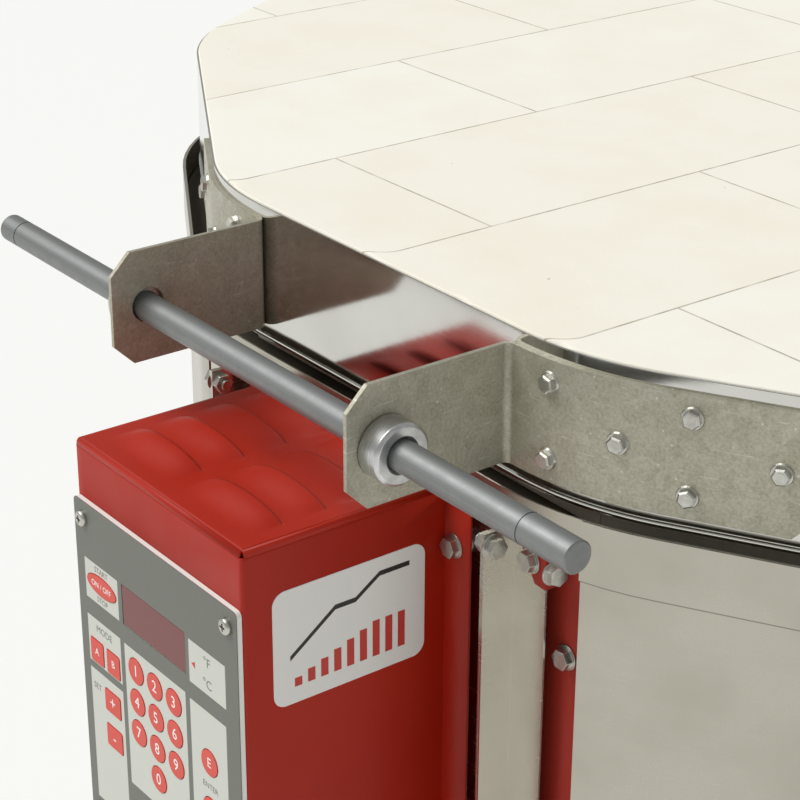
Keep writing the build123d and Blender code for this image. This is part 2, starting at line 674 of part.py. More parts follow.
PLATE_SCREW_SPAN = PLATE_TOP - WALL_BOTTOM - 2 * PLATE_SCREW_INSET
PLATE_SCREW_PLACES = [(side * PLATE_SCREW_X,
                       WALL_BOTTOM + PLATE_SCREW_INSET + row * PLATE_SCREW_SPAN / (PLATE_SCREW_ROWS - 1))
                      for side in (-1, 1) for row in range(PLATE_SCREW_ROWS)]
CASE_SCREW_SPAN = CASE_HEIGHT - 2 * CASE_SCREW_INSET
CASE_SCREW_PLACES = [(CASE_SHIFT + side * (CASE_WIDTH / 2 + CASE_SCREW_IN_FLANGE),
                      CASE_BOTTOM + CASE_SCREW_INSET + row * CASE_SCREW_SPAN / (CASE_SCREW_ROWS - 1))
                     for side in (-1, 1) for row in range(CASE_SCREW_ROWS)]

# Backing insulation, flat behind the mounting plate
with BuildPart() as backing_insulation:
    with BuildSketch(level_plane(WALL_BOTTOM)):
        add(round_outline(BACKING_OUT))
        add(sharp_outline(BACKING_IN), mode=Mode.SUBTRACT)
        with Locations((0, -PLATE_IN + FIT_GAP - LID_APOTHEM)):
            Rectangle(2 * LID_APOTHEM, 2 * LID_APOTHEM, mode=Mode.SUBTRACT)
    extrude(amount=COURSES * COURSE_HEIGHT - BACKING_RECESS)
    with BuildSketch(facet_plane(0, PLATE_IN)):
        with Locations(*PIN_PLACES):
            Circle(INSULATOR_RADIUS + INSULATOR_FIT)
        with Locations(THERMOCOUPLE_PLACE):
            Circle(THERMOCOUPLE_RADIUS + HOLE_FIT)
    extrude(amount=BRICK_OUT - PLATE_IN, mode=Mode.SUBTRACT)
    with BuildSketch(facet_plane(0, PLATE_OUT)):
        with Locations(*PLATE_SCREW_PLACES, *CASE_SCREW_PLACES):
            Circle(SCREW_RADIUS + SCREW_HOLE_GAP)
    extrude(amount=-BODY_SCREW_LENGTH - SCREW_HOLE_BEYOND, mode=Mode.SUBTRACT)
    with BuildSketch(REAR_PLATE):
        with Locations(*BRACKET_SCREWS):
            Circle(SCREW_RADIUS + SCREW_HOLE_GAP)
    extrude(amount=-BODY_SCREW_LENGTH - SCREW_HOLE_BEYOND, mode=Mode.SUBTRACT)
    with BuildSketch(facet_plane(PEEPHOLE_ANGLE, JACKET_OUT)):
        with Locations(*[(0, height) for height in PEEPHOLE_HEIGHTS]):
            Circle(PLUG_RADIUS + HOLE_FIT)
    extrude(amount=BRICK_OUT - JACKET_OUT, mode=Mode.SUBTRACT)
backing_insulation.part.label = "backing_insulation"

# Stainless jacket: open at the front under a narrow rail, hemmed round its top
with BuildPart() as body_jacket:
    with BuildSketch(level_plane(WALL_BOTTOM)):
        add(round_outline(JACKET_OUT))
        add(round_outline(JACKET_IN), mode=Mode.SUBTRACT)
    extrude(amount=WALL_TOP - WALL_BOTTOM)
    with BuildSketch(level_plane(WALL_TOP - JACKET_HEM_HEIGHT)):
        add(round_outline(JACKET_OUT + JACKET_SHEET))
        add(round_outline(JACKET_IN), mode=Mode.SUBTRACT)
        with Locations((0, -JACKET_OUT)):
            Rectangle(2 * WINDOW_HALF_WIDTH, JACKET_OUT, mode=Mode.SUBTRACT)
    extrude(amount=JACKET_HEM_HEIGHT)
    with BuildSketch(level_plane(WALL_BOTTOM)):
        with Locations((0, -JACKET_OUT)):
            Rectangle(2 * WINDOW_HALF_WIDTH, JACKET_OUT)
    extrude(amount=WALL_TOP - WALL_BOTTOM - RAIL_HEIGHT, mode=Mode.SUBTRACT)
    with BuildSketch(facet_plane(PEEPHOLE_ANGLE, JACKET_OUT)):
        with Locations(*[(0, height) for height in PEEPHOLE_HEIGHTS]):
            Circle(PLUG_RADIUS + HOLE_FIT)
    extrude(amount=-JACKET_SHEET * 2, mode=Mode.SUBTRACT)
    with BuildSketch(REAR_PLATE):
        with Locations(*BRACKET_SCREWS):
            Circle(SCREW_RADIUS + SCREW_HOLE_GAP)
    extrude(amount=-JACKET_SHEET * 2, mode=Mode.SUBTRACT)
body_jacket.part.label = "body_jacket"

# Dark red mounting plate on the front side of the body
with BuildPart() as mounting_plate:
    with BuildSketch(facet_plane(0, PLATE_IN)):
        with Locations((0, (PLATE_TOP + WALL_BOTTOM) / 2)):
            Rectangle(2 * PLATE_HALF_WIDTH, PLATE_TOP - WALL_BOTTOM)
        with Locations(*PIN_PLACES):
            Circle(INSULATOR_RADIUS + INSULATOR_FIT, mode=Mode.SUBTRACT)
        with Locations(THERMOCOUPLE_PLACE):
            Circle(THERMOCOUPLE_RADIUS + HOLE_FIT, mode=Mode.SUBTRACT)
        with Locations(*PLATE_SCREW_PLACES, *CASE_SCREW_PLACES):
            Circle(SCREW_RADIUS + SCREW_HOLE_GAP, mode=Mode.SUBTRACT)
    extrude(amount=PLATE_SHEET)
mounting_plate.part.label = "mounting_plate"

# Hex screws in the mounting plate, in the hinge bracket and in the case flanges
with BuildPart() as body_screws:
    add(hex_screws(planes_on(facet_plane(0, PLATE_OUT), PLATE_SCREW_PLACES), BODY_SCREW_LENGTH))
    add(hex_screws(planes_on(facet_plane(0, CASE_BACK + CASE_SHEET), CASE_SCREW_PLACES), BODY_SCREW_LENGTH))
    bracket_face = facet_plane(180, JACKET_OUT + BRACKET_SHEET)
    add(hex_screws(planes_on(bracket_face, BRACKET_SCREWS), BODY_SCREW_LENGTH))
body_screws.part.label = "body_screws"

# Bolts through the upright flanges beside the control case
FLANGE_BOLT_SPAN = WALL_TOP - WALL_BOTTOM - 2 * FLANGE_BOLT_DROP
FLANGE_BOLT_HEIGHTS = [WALL_TOP - FLANGE_BOLT_DROP - row * FLANGE_BOLT_SPAN / (FLANGE_BOLT_ROWS - 1)
                       for row in range(FLANGE_BOLT_ROWS)]
FLANGE_BOLT_REACH = CHANNEL_OUT - FLANGE_BOLT_SETBACK

# Stainless channel behind the case; element pins and case spacers pass through its base
with BuildPart() as front_channel:
    channel_height = PLATE_TOP - WALL_BOTTOM
    with BuildSketch(level_plane(WALL_BOTTOM)):
        with Locations((0, -(PLATE_OUT + CHANNEL_FACE) / 2)):
            Rectangle(2 * CHANNEL_HALF_WIDTH, CHANNEL_SHEET)
        for side in (-1, 1):
            flange_x = side * (CHANNEL_HALF_WIDTH - CHANNEL_SHEET / 2)
            with Locations((flange_x, -(PLATE_OUT + CHANNEL_OUT) / 2)):
                Rectangle(CHANNEL_SHEET, CHANNEL_OUT - PLATE_OUT)
    extrude(amount=channel_height)
    with BuildSketch(facet_plane(0, PLATE_OUT)):
        with Locations(*PIN_PLACES):
            Circle(INSULATOR_RADIUS + INSULATOR_FIT)
        with Locations(THERMOCOUPLE_PLACE):
            Circle(THERMOCOUPLE_RADIUS + HOLE_FIT)
        with Locations(*CASE_SCREW_PLACES):
            Circle(SPACER_RADIUS + HOLE_FIT)
    extrude(amount=CHANNEL_SHEET, mode=Mode.SUBTRACT)
    with BuildSketch(side_plane(0)):
        with Locations(*[(-FLANGE_BOLT_REACH, height) for height in FLANGE_BOLT_HEIGHTS]):
            Circle(BOLT_RADIUS + BOLT_HOLE_GAP)
    extrude(amount=CHANNEL_HALF_WIDTH, both=True, mode=Mode.SUBTRACT)
front_channel.part.label = "front_channel"

# Pair of stainless strips bolted to the channel's flanges
STRIP_INNER_X = CHANNEL_HALF_WIDTH + FLANGE_FIT + CHANNEL_SHEET / 2
STRIP_REACH = PLATE_OUT + STRIP_STANDOFF
STRIP_TURN = atan2(STRIP_LEAN, STRIP_OUTER_X - STRIP_INNER_X)
# Face of the right-hand strip; its X runs to the strip's outer edge, where it is nought
STRIP_FACE = Plane(origin=(STRIP_OUTER_X, AXIS_Y - STRIP_REACH - STRIP_LEAN, 0),
                   x_dir=(cos(STRIP_TURN), -sin(STRIP_TURN), 0),
                   z_dir=(-sin(STRIP_TURN), -cos(STRIP_TURN), 0)).offset(CHANNEL_SHEET / 2)
CLOSURE_BOTTOM = PLATE_TOP - CLOSURE_HEIGHT
CLOSURE_SCREW_PLACE = (-CLOSURE_SCREW_INSET, CLOSURE_BOTTOM + CLOSURE_SCREW_RISE)
with BuildPart() as side_strips:
    with BuildSketch(level_plane(WALL_BOTTOM)):
        with BuildLine():
            Polyline((STRIP_INNER_X, -CHANNEL_OUT), (STRIP_INNER_X, -STRIP_REACH),
                     (STRIP_OUTER_X, -STRIP_REACH - STRIP_LEAN))
        trace(line_width=CHANNEL_SHEET)
    extrude(amount=PLATE_TOP - WALL_BOTTOM)
    with BuildSketch(side_plane(STRIP_INNER_X)):
        with Locations(*[(-FLANGE_BOLT_REACH, height) for height in FLANGE_BOLT_HEIGHTS]):
            Circle(BOLT_RADIUS + BOLT_HOLE_GAP)
    extrude(amount=CHANNEL_SHEET, both=True, mode=Mode.SUBTRACT)
    mirror(about=Plane.YZ)
    with BuildSketch(STRIP_FACE):
        with Locations(CLOSURE_SCREW_PLACE):
            Circle(SCREW_RADIUS + SCREW_HOLE_GAP)
    extrude(amount=-CHANNEL_SHEET, mode=Mode.SUBTRACT)
side_strips.part.label = "side_strips"


def bolt_and_nut(head_x, nut_x, reach, height):
    """Hex bolt along X with its nut; the head seats at head_x and the nut at nut_x."""
    direction = 1 if nut_x > head_x else -1
    grip = abs(nut_x - head_x)
    centre = (AXIS_Y - reach, height)
    head_plane = Plane(origin=(head_x, *centre), x_dir=(0, 1, 0), z_dir=(-direction, 0, 0))
    nut_plane = Plane(origin=(nut_x, *centre), x_dir=(0, 1, 0), z_dir=(direction, 0, 0))
    with BuildPart() as bolt:
        with BuildSketch(head_plane):
            Circle(WASHER_RADIUS)
        extrude(amount=WASHER_THICKNESS)
        with BuildSketch(head_plane.offset(WASHER_THICKNESS)):
            RegularPolygon(HEX_RADIUS, 6)
        extrude(amount=HEX_HEIGHT)
        with BuildSketch(head_plane):
            Circle(BOLT_RADIUS)
        extrude(amount=-grip - NUT_THICKNESS - BOLT_STICKOUT)
    with BuildPart() as nut:
        with BuildSketch(nut_plane):
            RegularPolygon(HEX_RADIUS, 6)
            Circle(BOLT_RADIUS + COLLAR_FIT, mode=Mode.SUBTRACT)
        extrude(amount=NUT_THICKNESS)
    return [bolt.part, nut.part]


# Closure bracket near the rim: a tongue on the right-hand strip, and a leg past the strip's edge
with BuildPart() as closure_bracket:
    leg_out = CLOSURE_SIDE_GAP + CLOSURE_SHEET
    with BuildSketch(STRIP_FACE):
        with BuildLine():
            Polyline((leg_out, PLATE_TOP), (-CLOSURE_TOP_WIDTH, PLATE_TOP),
                     (-CLOSURE_FOOT_WIDTH, CLOSURE_BOTTOM), (leg_out, CLOSURE_BOTTOM), close=True)
        make_face()
        with Locations(CLOSURE_SCREW_PLACE):
            Circle(SCREW_RADIUS + SCREW_HOLE_GAP, mode=Mode.SUBTRACT)
    extrude(amount=CLOSURE_SHEET)
    with BuildSketch(STRIP_FACE):
        with Locations((leg_out - CLOSURE_SHEET / 2, PLATE_TOP - CLOSURE_HEIGHT / 2)):
            Rectangle(CLOSURE_SHEET, CLOSURE_HEIGHT)
    extrude(amount=-CLOSURE_LEG_DEPTH)
    side_screw = STRIP_FACE.from_local_coords(
        (leg_out, CLOSURE_BOTTOM + CLOSURE_SIDE_SCREW_RISE, -CLOSURE_SIDE_SCREW_DEPTH))
    LEG_SCREW_PLANE = Plane(origin=side_screw, x_dir=(0, 0, 1), z_dir=STRIP_FACE.x_dir)
    with BuildSketch(LEG_SCREW_PLANE):
        Circle(SCREW_RADIUS + SCREW_HOLE_GAP)
    extrude(amount=-CLOSURE_SHEET, mode=Mode.SUBTRACT)
closure_bracket.part.label = "closure_bracket"

# Bolts and nuts through the flanges, and the closure bracket's two screws
with BuildPart() as closure_bolts:
    strip_face = CHANNEL_HALF_WIDTH + FLANGE_FIT + CHANNEL_SHEET
    channel_face = CHANNEL_HALF_WIDTH - CHANNEL_SHEET
    for side in (-1, 1):
        for height in FLANGE_BOLT_HEIGHTS:
            add(bolt_and_nut(side * strip_face, side * channel_face, FLANGE_BOLT_REACH, height))
    add(hex_screws(planes_on(STRIP_FACE.offset(CLOSURE_SHEET), [CLOSURE_SCREW_PLACE]), CLOSURE_SCREW_LENGTH))
    add(hex_screws([LEG_SCREW_PLANE], CLOSURE_SHEET))
closure_bolts.part.label = "closure_bolts"

# Heating elements, one ring in each groove, open at the front
with BuildPart() as heating_elements:
    corner = ELEMENT_APOTHEM / cos(radians(TURN / 2))
    for height in ALL_GROOVES:
        seat = height - GROOVE_HEIGHT / 2 + ELEMENT_RADIUS + ELEMENT_SEAT_GAP
        turns = [radians(TURN * (number + 0.5)) for number in range(SIDES)]
        ring = [(corner * sin(turn), AXIS_Y - corner * cos(turn), seat) for turn in turns]
        first = (ELEMENT_END_X, AXIS_Y - ELEMENT_APOTHEM, seat)
        last = (-ELEMENT_END_X, AXIS_Y - ELEMENT_APOTHEM, seat)
        with BuildLine() as path:
            Polyline(first, *ring, last)
        with BuildSketch(Plane(origin=first, x_dir=(0, 1, 0), z_dir=(1, 0, 0))):
            Circle(ELEMENT_RADIUS)
        sweep(path=path.wire(), transition=Transition.RIGHT)
heating_elements.part.label = "heating_elements"

# Pins that carry current from the case to the elements, with their nuts
with BuildPart() as element_pins:
    pin_root = ELEMENT_APOTHEM - ELEMENT_RADIUS
    with BuildSketch(facet_plane(0, pin_root)):
        with Locations(*PIN_PLACES):
            Circle(PIN_RADIUS)
    extrude(amount=PIN_END - pin_root)
    with BuildSketch(facet_plane(0, PIN_END - PIN_NUT_SETBACK)):
        with Locations(*PIN_PLACES):
            RegularPolygon(PIN_NUT_RADIUS, 6)
    extrude(amount=-PIN_NUT_THICKNESS)
element_pins.part.label = "element_pins"

# Ceramic insulating tubes round the pins
with BuildPart() as pin_insulators:
    with BuildSketch(facet_plane(0, GROOVE_APOTHEM + INSULATOR_FIT)):
        with Locations(*PIN_PLACES):
            Circle(INSULATOR_RADIUS)
            Circle(PIN_RADIUS + INSULATOR_FIT, mode=Mode.SUBTRACT)
    extrude(amount=CHANNEL_FACE + INSULATOR_STICKOUT - GROOVE_APOTHEM - INSULATOR_FIT)
pin_insulators.part.label = "pin_insulators"

# Thermocouple: a ceramic-sheathed rod with its connection block inside the case
with BuildPart() as thermocouple:
    with BuildSketch(facet_plane(0, BRICK_IN - THERMOCOUPLE_TIP_INSIDE)):
        with Locations(THERMOCOUPLE_PLACE):
            Circle(THERMOCOUPLE_RADIUS)
    extrude(amount=CHANNEL_FACE - BRICK_IN + THERMOCOUPLE_TIP_INSIDE)
    with BuildSketch(facet_plane(0, CHANNEL_FACE)):
        with Locations(THERMOCOUPLE_PLACE):
            Rectangle(THERMOCOUPLE_BLOCK[0], THERMOCOUPLE_BLOCK[1])
    extrude(amount=THERMOCOUPLE_BLOCK[2])
thermocouple.part.label = "thermocouple"


def louvre(x, lip_y, skin):
    """Front quarter of a spindle, skin mm inside the outer face, for one louvre."""
    rise = LOUVRE_AXIS_DROP + LOUVRE_HEIGHT - skin
    end_rise = LOUVRE_AXIS_DROP - skin
    axis_plane = Plane(origin=(x, lip_y, CASE_TOP - LOUVRE_AXIS_DROP), x_dir=(1, 0, 0), z_dir=(0, -1, 0))
    with BuildPart() as blister:
        with BuildSketch(axis_plane):
            with BuildLine():
                half = LOUVRE_LENGTH / 2
                crest = ThreePointArc((-half, end_rise), (0, rise), (half, end_rise))
                Polyline(crest @ 1, (half, 0), (-half, 0), crest @ 0)
            make_face()
        revolve(axis=Axis((x, lip_y, CASE_TOP - LOUVRE_AXIS_DROP), (1, 0, 0)), revolution_arc=90)
        split(bisect_by=Plane.XY.offset(CASE_TOP - CASE_SHEET), keep=Keep.TOP)
    return blister.part


LOUVRE_PLACES = [(CASE_SHIFT + (column - (LOUVRE_COLUMNS - 1) / 2) * LOUVRE_COLUMN_PITCH,
                  AXIS_Y - CASE_FRONT + LOUVRE_FIRST_ROW + row * LOUVRE_ROW_PITCH)
                 for column in range(LOUVRE_COLUMNS) for row in range(LOUVRE_ROWS)]
CASE_MIDDLE = (CASE_TOP + CASE_BOTTOM) / 2
INLET_CENTRE = (CASE_SHIFT, AXIS_Y - CASE_BACK - INLET_FROM_BACK)

# Red control case: a welded shell, open at the back, with flanges, louvred top and vented bottom
with BuildPart() as control_case:
    with BuildSketch(facet_plane(0, CASE_BACK)):
        with Locations((CASE_SHIFT, CASE_MIDDLE)):
            Rectangle(CASE_WIDTH, CASE_HEIGHT)
    extrude(amount=CASE_DEPTH)
    with BuildSketch(facet_plane(0, CASE_BACK)):
        with Locations((CASE_SHIFT, CASE_MIDDLE)):
            Rectangle(CASE_WIDTH - 2 * CASE_SHEET, CASE_HEIGHT - 2 * CASE_SHEET)
    extrude(amount=CASE_DEPTH - CASE_SHEET, mode=Mode.SUBTRACT)
    with BuildSketch(facet_plane(0, CASE_BACK)):
        for side in (-1, 1):
            flange_x = CASE_SHIFT + side * (CASE_WIDTH + FLANGE_WIDTH - CASE_SHEET) / 2
            with Locations((flange_x, CASE_MIDDLE)):
                Rectangle(FLANGE_WIDTH + CASE_SHEET, CASE_HEIGHT - 2 * FLANGE_END_GAP)
        with Locations(*CASE_SCREW_PLACES):
            Circle(SCREW_RADIUS + SCREW_HOLE_GAP, mode=Mode.SUBTRACT)
    extrude(amount=CASE_SHEET)
    for x, lip_y in LOUVRE_PLACES:
        add(louvre(x, lip_y, 0))
    for x, lip_y in LOUVRE_PLACES:
        add(louvre(x, lip_y, CASE_SHEET), mode=Mode.SUBTRACT)
    with BuildSketch(Plane.XY.offset(CASE_BOTTOM)):
        with Locations((CASE_SHIFT, AXIS_Y - CASE_FRONT + VENTS_FROM_FRONT)):
            with GridLocations(VENT_LENGTH, VENT_PITCH, 1, VENT_COUNT):
                SlotOverall(VENT_LENGTH, VENT_WIDTH)
        with Locations(INLET_CENTRE):
            Circle(INLET_RADIUS + FIT_GAP)
    extrude(amount=CASE_SHEET, mode=Mode.SUBTRACT)
    with BuildSketch(facet_plane(0, CASE_FRONT)):
        with Locations((CASE_SHIFT, FACE_TOP - FACE_HEIGHT / 2)):
            Rectangle(FACE_WIDTH - 2 * CASE_CUTOUT_INSET, CASE_CUTOUT_HEIGHT)
        with Locations(*[face_place(place) for place in FACE_SCREW_PLACES]):
            Circle(FACE_SCREW_RADIUS + SCREW_HOLE_GAP)
    extrude(amount=-CASE_SHEET, mode=Mode.SUBTRACT)
    # Top, bottom, front, sides and flanges are sheets welded together, so each is its own solid
    split(bisect_by=Plane.XY.offset(CASE_TOP - CASE_SHEET), keep=Keep.BOTH)
    split(bisect_by=Plane.XY.offset(CASE_BOTTOM + CASE_SHEET), keep=Keep.BOTH)
    bottom_sheet, upright_sheets, top_sheet = control_case.solids().sort_by(Axis.Z)
    split(upright_sheets, bisect_by=Plane.XZ.offset(CASE_FRONT - CASE_SHEET - AXIS_Y), keep=Keep.BOTH)
    for side in (-1, 1):
        split(bisect_by=Plane.YZ.offset(CASE_SHIFT + side * CASE_WIDTH / 2), keep=Keep.BOTH)
    add([bottom_sheet, *control_case.solids(), top_sheet], mode=Mode.REPLACE)
control_case.part.label = "control_case"

# Spacers between the case flanges and the mounting plate
with BuildPart() as case_spacers:
    with BuildSketch(facet_plane(0, PLATE_OUT)):
        with Locations(*CASE_SCREW_PLACES):
            Circle(SPACER_RADIUS)
            Circle(SCREW_RADIUS + SCREW_HOLE_GAP, mode=Mode.SUBTRACT)
    extrude(amount=CASE_STANDOFF)
case_spacers.part.label = "case_spacers"


def key_outline(size, grow):
    """Outline of a key centred on the origin: a rounded rectangle, a long oval or a circle."""
    with BuildSketch() as outline:
        if size == ROUND_KEY:
            Circle(ROUND_KEY / 2 + grow)
        elif size == START_KEY:
            Ellipse(START_KEY[0] / 2 + grow, START_KEY[1] / 2 + grow)
        else:
            RectangleRounded(size[0] + 2 * grow, size[1] + 2 * grow, KEY_CORNER_RADIUS + grow)
    return outline.sketch


DIGIT_PLACES = {digit: (DIGIT_COLUMNS[(digit - 1) % 3],
                        DIGIT_FIRST_ROW + (digit - 1) // 3 * DIGIT_ROW_PITCH)
                for digit in range(1, 10)}
DIGIT_PLACES[0] = (DIGIT_COLUMNS[1], DIGIT_FIRST_ROW + 3 * DIGIT_ROW_PITCH)
KEYS = {"key_start_stop": (START_KEY, START_KEY_PLACE)}
KEYS["key_mode_left"] = (MODE_KEY, MODE_KEY_PLACES[0])
KEYS["key_mode_right"] = (MODE_KEY, MODE_KEY_PLACES[1])
KEYS["key_option_upper"] = (OPTION_KEY, OPTION_KEY_PLACES[0])
KEYS["key_option_lower"] = (OPTION_KEY, OPTION_KEY_PLACES[1])
KEYS["key_entry_upper"] = (ROUND_KEY, ENTRY_KEY_PLACES[0])
KEYS["key_entry_lower"] = (ROUND_KEY, ENTRY_KEY_PLACES[1])
for digit, place in DIGIT_PLACES.items():
    KEYS[f"key_{digit}"] = (ROUND_KEY, place)

# Keypad plate with holes for the keys, the display and four screws
with BuildPart() as face_plate:
    with BuildSketch(facet_plane(0, CASE_FRONT)):
        with Locations((CASE_SHIFT, FACE_TOP - FACE_HEIGHT / 2)):
            RectangleRounded(FACE_WIDTH, FACE_HEIGHT, FACE_CORNER_RADIUS)
        for size, place in KEYS.values():
            with Locations(face_place(place)):
                add(key_outline(size, KEY_FIT), mode=Mode.SUBTRACT)
        with Locations(face_place(DISPLAY_PLACE)):
            Rectangle(DISPLAY_WIDTH + 2 * DISPLAY_FIT, DISPLAY_HEIGHT + 2 * DISPLAY_FIT,
                      mode=Mode.SUBTRACT)
        with Locations(*[face_place(place) for place in FACE_SCREW_PLACES]):
            Circle(FACE_SCREW_RADIUS + SCREW_HOLE_GAP, mode=Mode.SUBTRACT)
    extrude(amount=FACE_THICKNESS)
face_plate.part.label = "face_plate"

# Cross-recess pan-head screws at the corners of the keypad plate
with BuildPart() as face_screws:
    face_screw_places = [face_place(place) for place in FACE_SCREW_PLACES]
    with BuildSketch(facet_plane(0, FACE_REACH)):
        with Locations(*face_screw_places):
            Circle(FACE_SCREW_HEAD_RADIUS)
    extrude(amount=FACE_SCREW_HEAD_HEIGHT)
    heads = face_screws.faces().sort_by(Axis.Y)[:len(face_screw_places)]
    fillet(heads.edges(), FACE_SCREW_HEAD_ROUNDING)
    with BuildSketch(facet_plane(0, FACE_REACH + FACE_SCREW_HEAD_HEIGHT)):
        with Locations(*face_screw_places):
            Rectangle(FACE_SCREW_HEAD_RADIUS, FACE_SCREW_CROSS_WIDTH)
            Rectangle(FACE_SCREW_CROSS_WIDTH, FACE_SCREW_HEAD_RADIUS)
    extrude(amount=-FACE_SCREW_CROSS_DEPTH, mode=Mode.SUBTRACT)
    with BuildSketch(facet_plane(0, FACE_REACH)):
        with Locations(*face_screw_places):
            Circle(FACE_SCREW_RADIUS)
    extrude(amount=-FACE_SCREW_LENGTH)
face_screws.part.label = "face_screws"

# Display window, set into the keypad plate
with BuildPart() as display_window:
    with BuildSketch(facet_plane(0, CASE_FRONT)):
        with Locations(face_place(DISPLAY_PLACE)):
            Rectangle(DISPLAY_WIDTH, DISPLAY_HEIGHT)
    extrude(amount=FACE_THICKNESS - DISPLAY_FIT)
display_window.part.label = "display_window"


def key(size, place):
    """One key: its cap through the plate and a flange behind it."""
    with BuildPart() as cap:
        with BuildSketch(facet_plane(0, CASE_FRONT - KEY_BACK_GAP)):
            with Locations(face_place(place)):
                add(key_outline(size, 0))
        extrude(amount=FACE_THICKNESS + KEY_BACK_GAP + KEY_PROUD)
        with BuildSketch(facet_plane(0, CASE_FRONT - KEY_BACK_GAP)):
            with Locations(face_place(place)):
                add(key_outline(size, KEY_FLANGE))
        extrude(amount=-KEY_FLANGE_THICKNESS)
    return cap.part


# Keys, each its own piece
key_parts = []
for name, (size, place) in KEYS.items():
    key_part = key(size, place)
    key_part.label = name
    key_parts.append(key_part)

# Controller board with its standoffs and numeric display
with BuildPart() as controller_board:
    board_reach = CASE_FRONT - BOARD_BEHIND_FACE - BOARD_THICKNESS
    board_middle = FACE_TOP - FACE_HEIGHT / 2
    board_width = CASE_WIDTH - 2 * (CASE_SHEET + BOARD_SIDE_GAP)
    with BuildSketch(facet_plane(0, board_reach)):
        with Locations((CASE_SHIFT, board_middle)):
            Rectangle(board_width, BOARD_HEIGHT)
    extrude(amount=BOARD_THICKNESS)
    with BuildSketch(facet_plane(0, board_reach + BOARD_THICKNESS)):
        with Locations((CASE_SHIFT, board_middle)):
            with GridLocations(board_width - 2 * STANDOFF_INSET, BOARD_HEIGHT - 2 * STANDOFF_INSET, 2, 2):
                Circle(STANDOFF_RADIUS)
    extrude(amount=BOARD_BEHIND_FACE)
    with BuildSketch(facet_plane(0, board_reach + BOARD_THICKNESS)):
        with Locations(face_place(DISPLAY_PLACE)):
            Rectangle(DISPLAY_WIDTH, DISPLAY_HEIGHT)
    extrude(amount=LED_DEPTH)
controller_board.part.label = "controller_board"

# Relays between the rows of pins, and the power terminal block below them
with BuildPart() as relays:
    with BuildSketch(facet_plane(0, CHANNEL_FACE)):
        for lower, upper in zip(ALL_GROOVES[1:-2], ALL_GROOVES[2:-1]):
            with Locations((CASE_SHIFT, (lower + upper) / 2)):
                Rectangle(RELAY_SIZE[0], RELAY_SIZE[1])
    extrude(amount=RELAY_SIZE[2])
    fillet(relays.faces().sort_by(Axis.Y)[0].edges(), CASE_SHEET)
relays.part.label = "relays"

with BuildPart() as terminal_block:
    with BuildSketch(facet_plane(0, CHANNEL_FACE)):
        with Locations((CASE_SHIFT, (ALL_GROOVES[0] + ALL_GROOVES[1]) / 2)):
            Rectangle(TERMINAL_BLOCK_SIZE[0], TERMINAL_BLOCK_SIZE[1])
    extrude(amount=TERMINAL_BLOCK_SIZE[2])
terminal_block.part.label = "terminal_block"

# Cable gland in the bottom of the case
with BuildPart() as power_inlet:
    with BuildSketch(Plane.XY.offset(CASE_BOTTOM + INLET_INSIDE)):
        with Locations(INLET_CENTRE):
            Circle(INLET_RADIUS)
    extrude(amount=-INLET_LENGTH - INLET_INSIDE)
    with BuildSketch(Plane.XY.offset(CASE_BOTTOM)):
        with Locations(INLET_CENTRE):
            RegularPolygon(INLET_HEX_RADIUS, 6)
    extrude(amount=-INLET_HEX_HEIGHT)
    with BuildSketch(Plane.XY.offset(CASE_BOTTOM + CASE_SHEET)):
        with Locations(INLET_CENTRE):
            RegularPolygon(INLET_HEX_RADIUS, 6)
    extrude(amount=INLET_NUT_HEIGHT)
    with BuildSketch(Plane.XY.offset(CASE_BOTTOM + INLET_INSIDE)):
        with Locations(INLET_CENTRE):
            Circle(INLET_BORE_RADIUS)
    extrude(amount=-INLET_LENGTH - INLET_INSIDE, mode=Mode.SUBTRACT)
power_inlet.part.label = "power_inlet"

# Rounded label on the right side of the case
with BuildPart() as side_label:
    with BuildSketch(side_plane(CASE_SHIFT + CASE_WIDTH / 2)):
        with Locations((LABEL_FROM_FRONT + LABEL_WIDTH / 2 - CASE_FRONT,
                        CASE_TOP - LABEL_DROP - LABEL_HEIGHT / 2)):
            RectangleRounded(LABEL_WIDTH, LABEL_HEIGHT, LABEL_CORNER_RADIUS)
    extrude(amount=LABEL_THICKNESS)
side_label.part.label = "side_label"


def peephole_plug(height):
    """Ceramic plug for one peephole, tapered towards the chamber, with a round grip."""
    shank = JACKET_OUT + PLUG_SEAT_GAP - BRICK_IN - PLUG_INSET
    with BuildPart() as plug:
        with BuildSketch(facet_plane(PEEPHOLE_ANGLE, JACKET_OUT + PLUG_SEAT_GAP)):
            with Locations((0, height)):
                Circle(PLUG_RADIUS)
        with BuildSketch(facet_plane(PEEPHOLE_ANGLE, JACKET_OUT + PLUG_SEAT_GAP - shank)):
            with Locations((0, height)):
                Circle(PLUG_TIP_RADIUS)
        loft()
        with BuildSketch(facet_plane(PEEPHOLE_ANGLE, JACKET_OUT + PLUG_SEAT_GAP)):
            with Locations((0, height)):
                Circle(PLUG_HEAD_RADIUS)
        extrude(amount=PLUG_HEAD_THICKNESS)
        outward = Axis((0, 0, 0), (sin(radians(PEEPHOLE_ANGLE)), -cos(radians(PEEPHOLE_ANGLE)), 0))
        fillet(plug.faces().sort_by(outward)[-1].edges(), PLUG_EDGE_RADIUS)
    return plug.part


# Peephole plugs
with BuildPart() as peephole_plug_lower:
    add(peephole_plug(PEEPHOLE_HEIGHTS[0]))
peephole_plug_lower.part.label = "peephole_plug_lower"

with BuildPart() as peephole_plug_upper:
    add(peephole_plug(PEEPHOLE_HEIGHTS[1]))
peephole_plug_upper.part.label = "peephole_plug_upper"

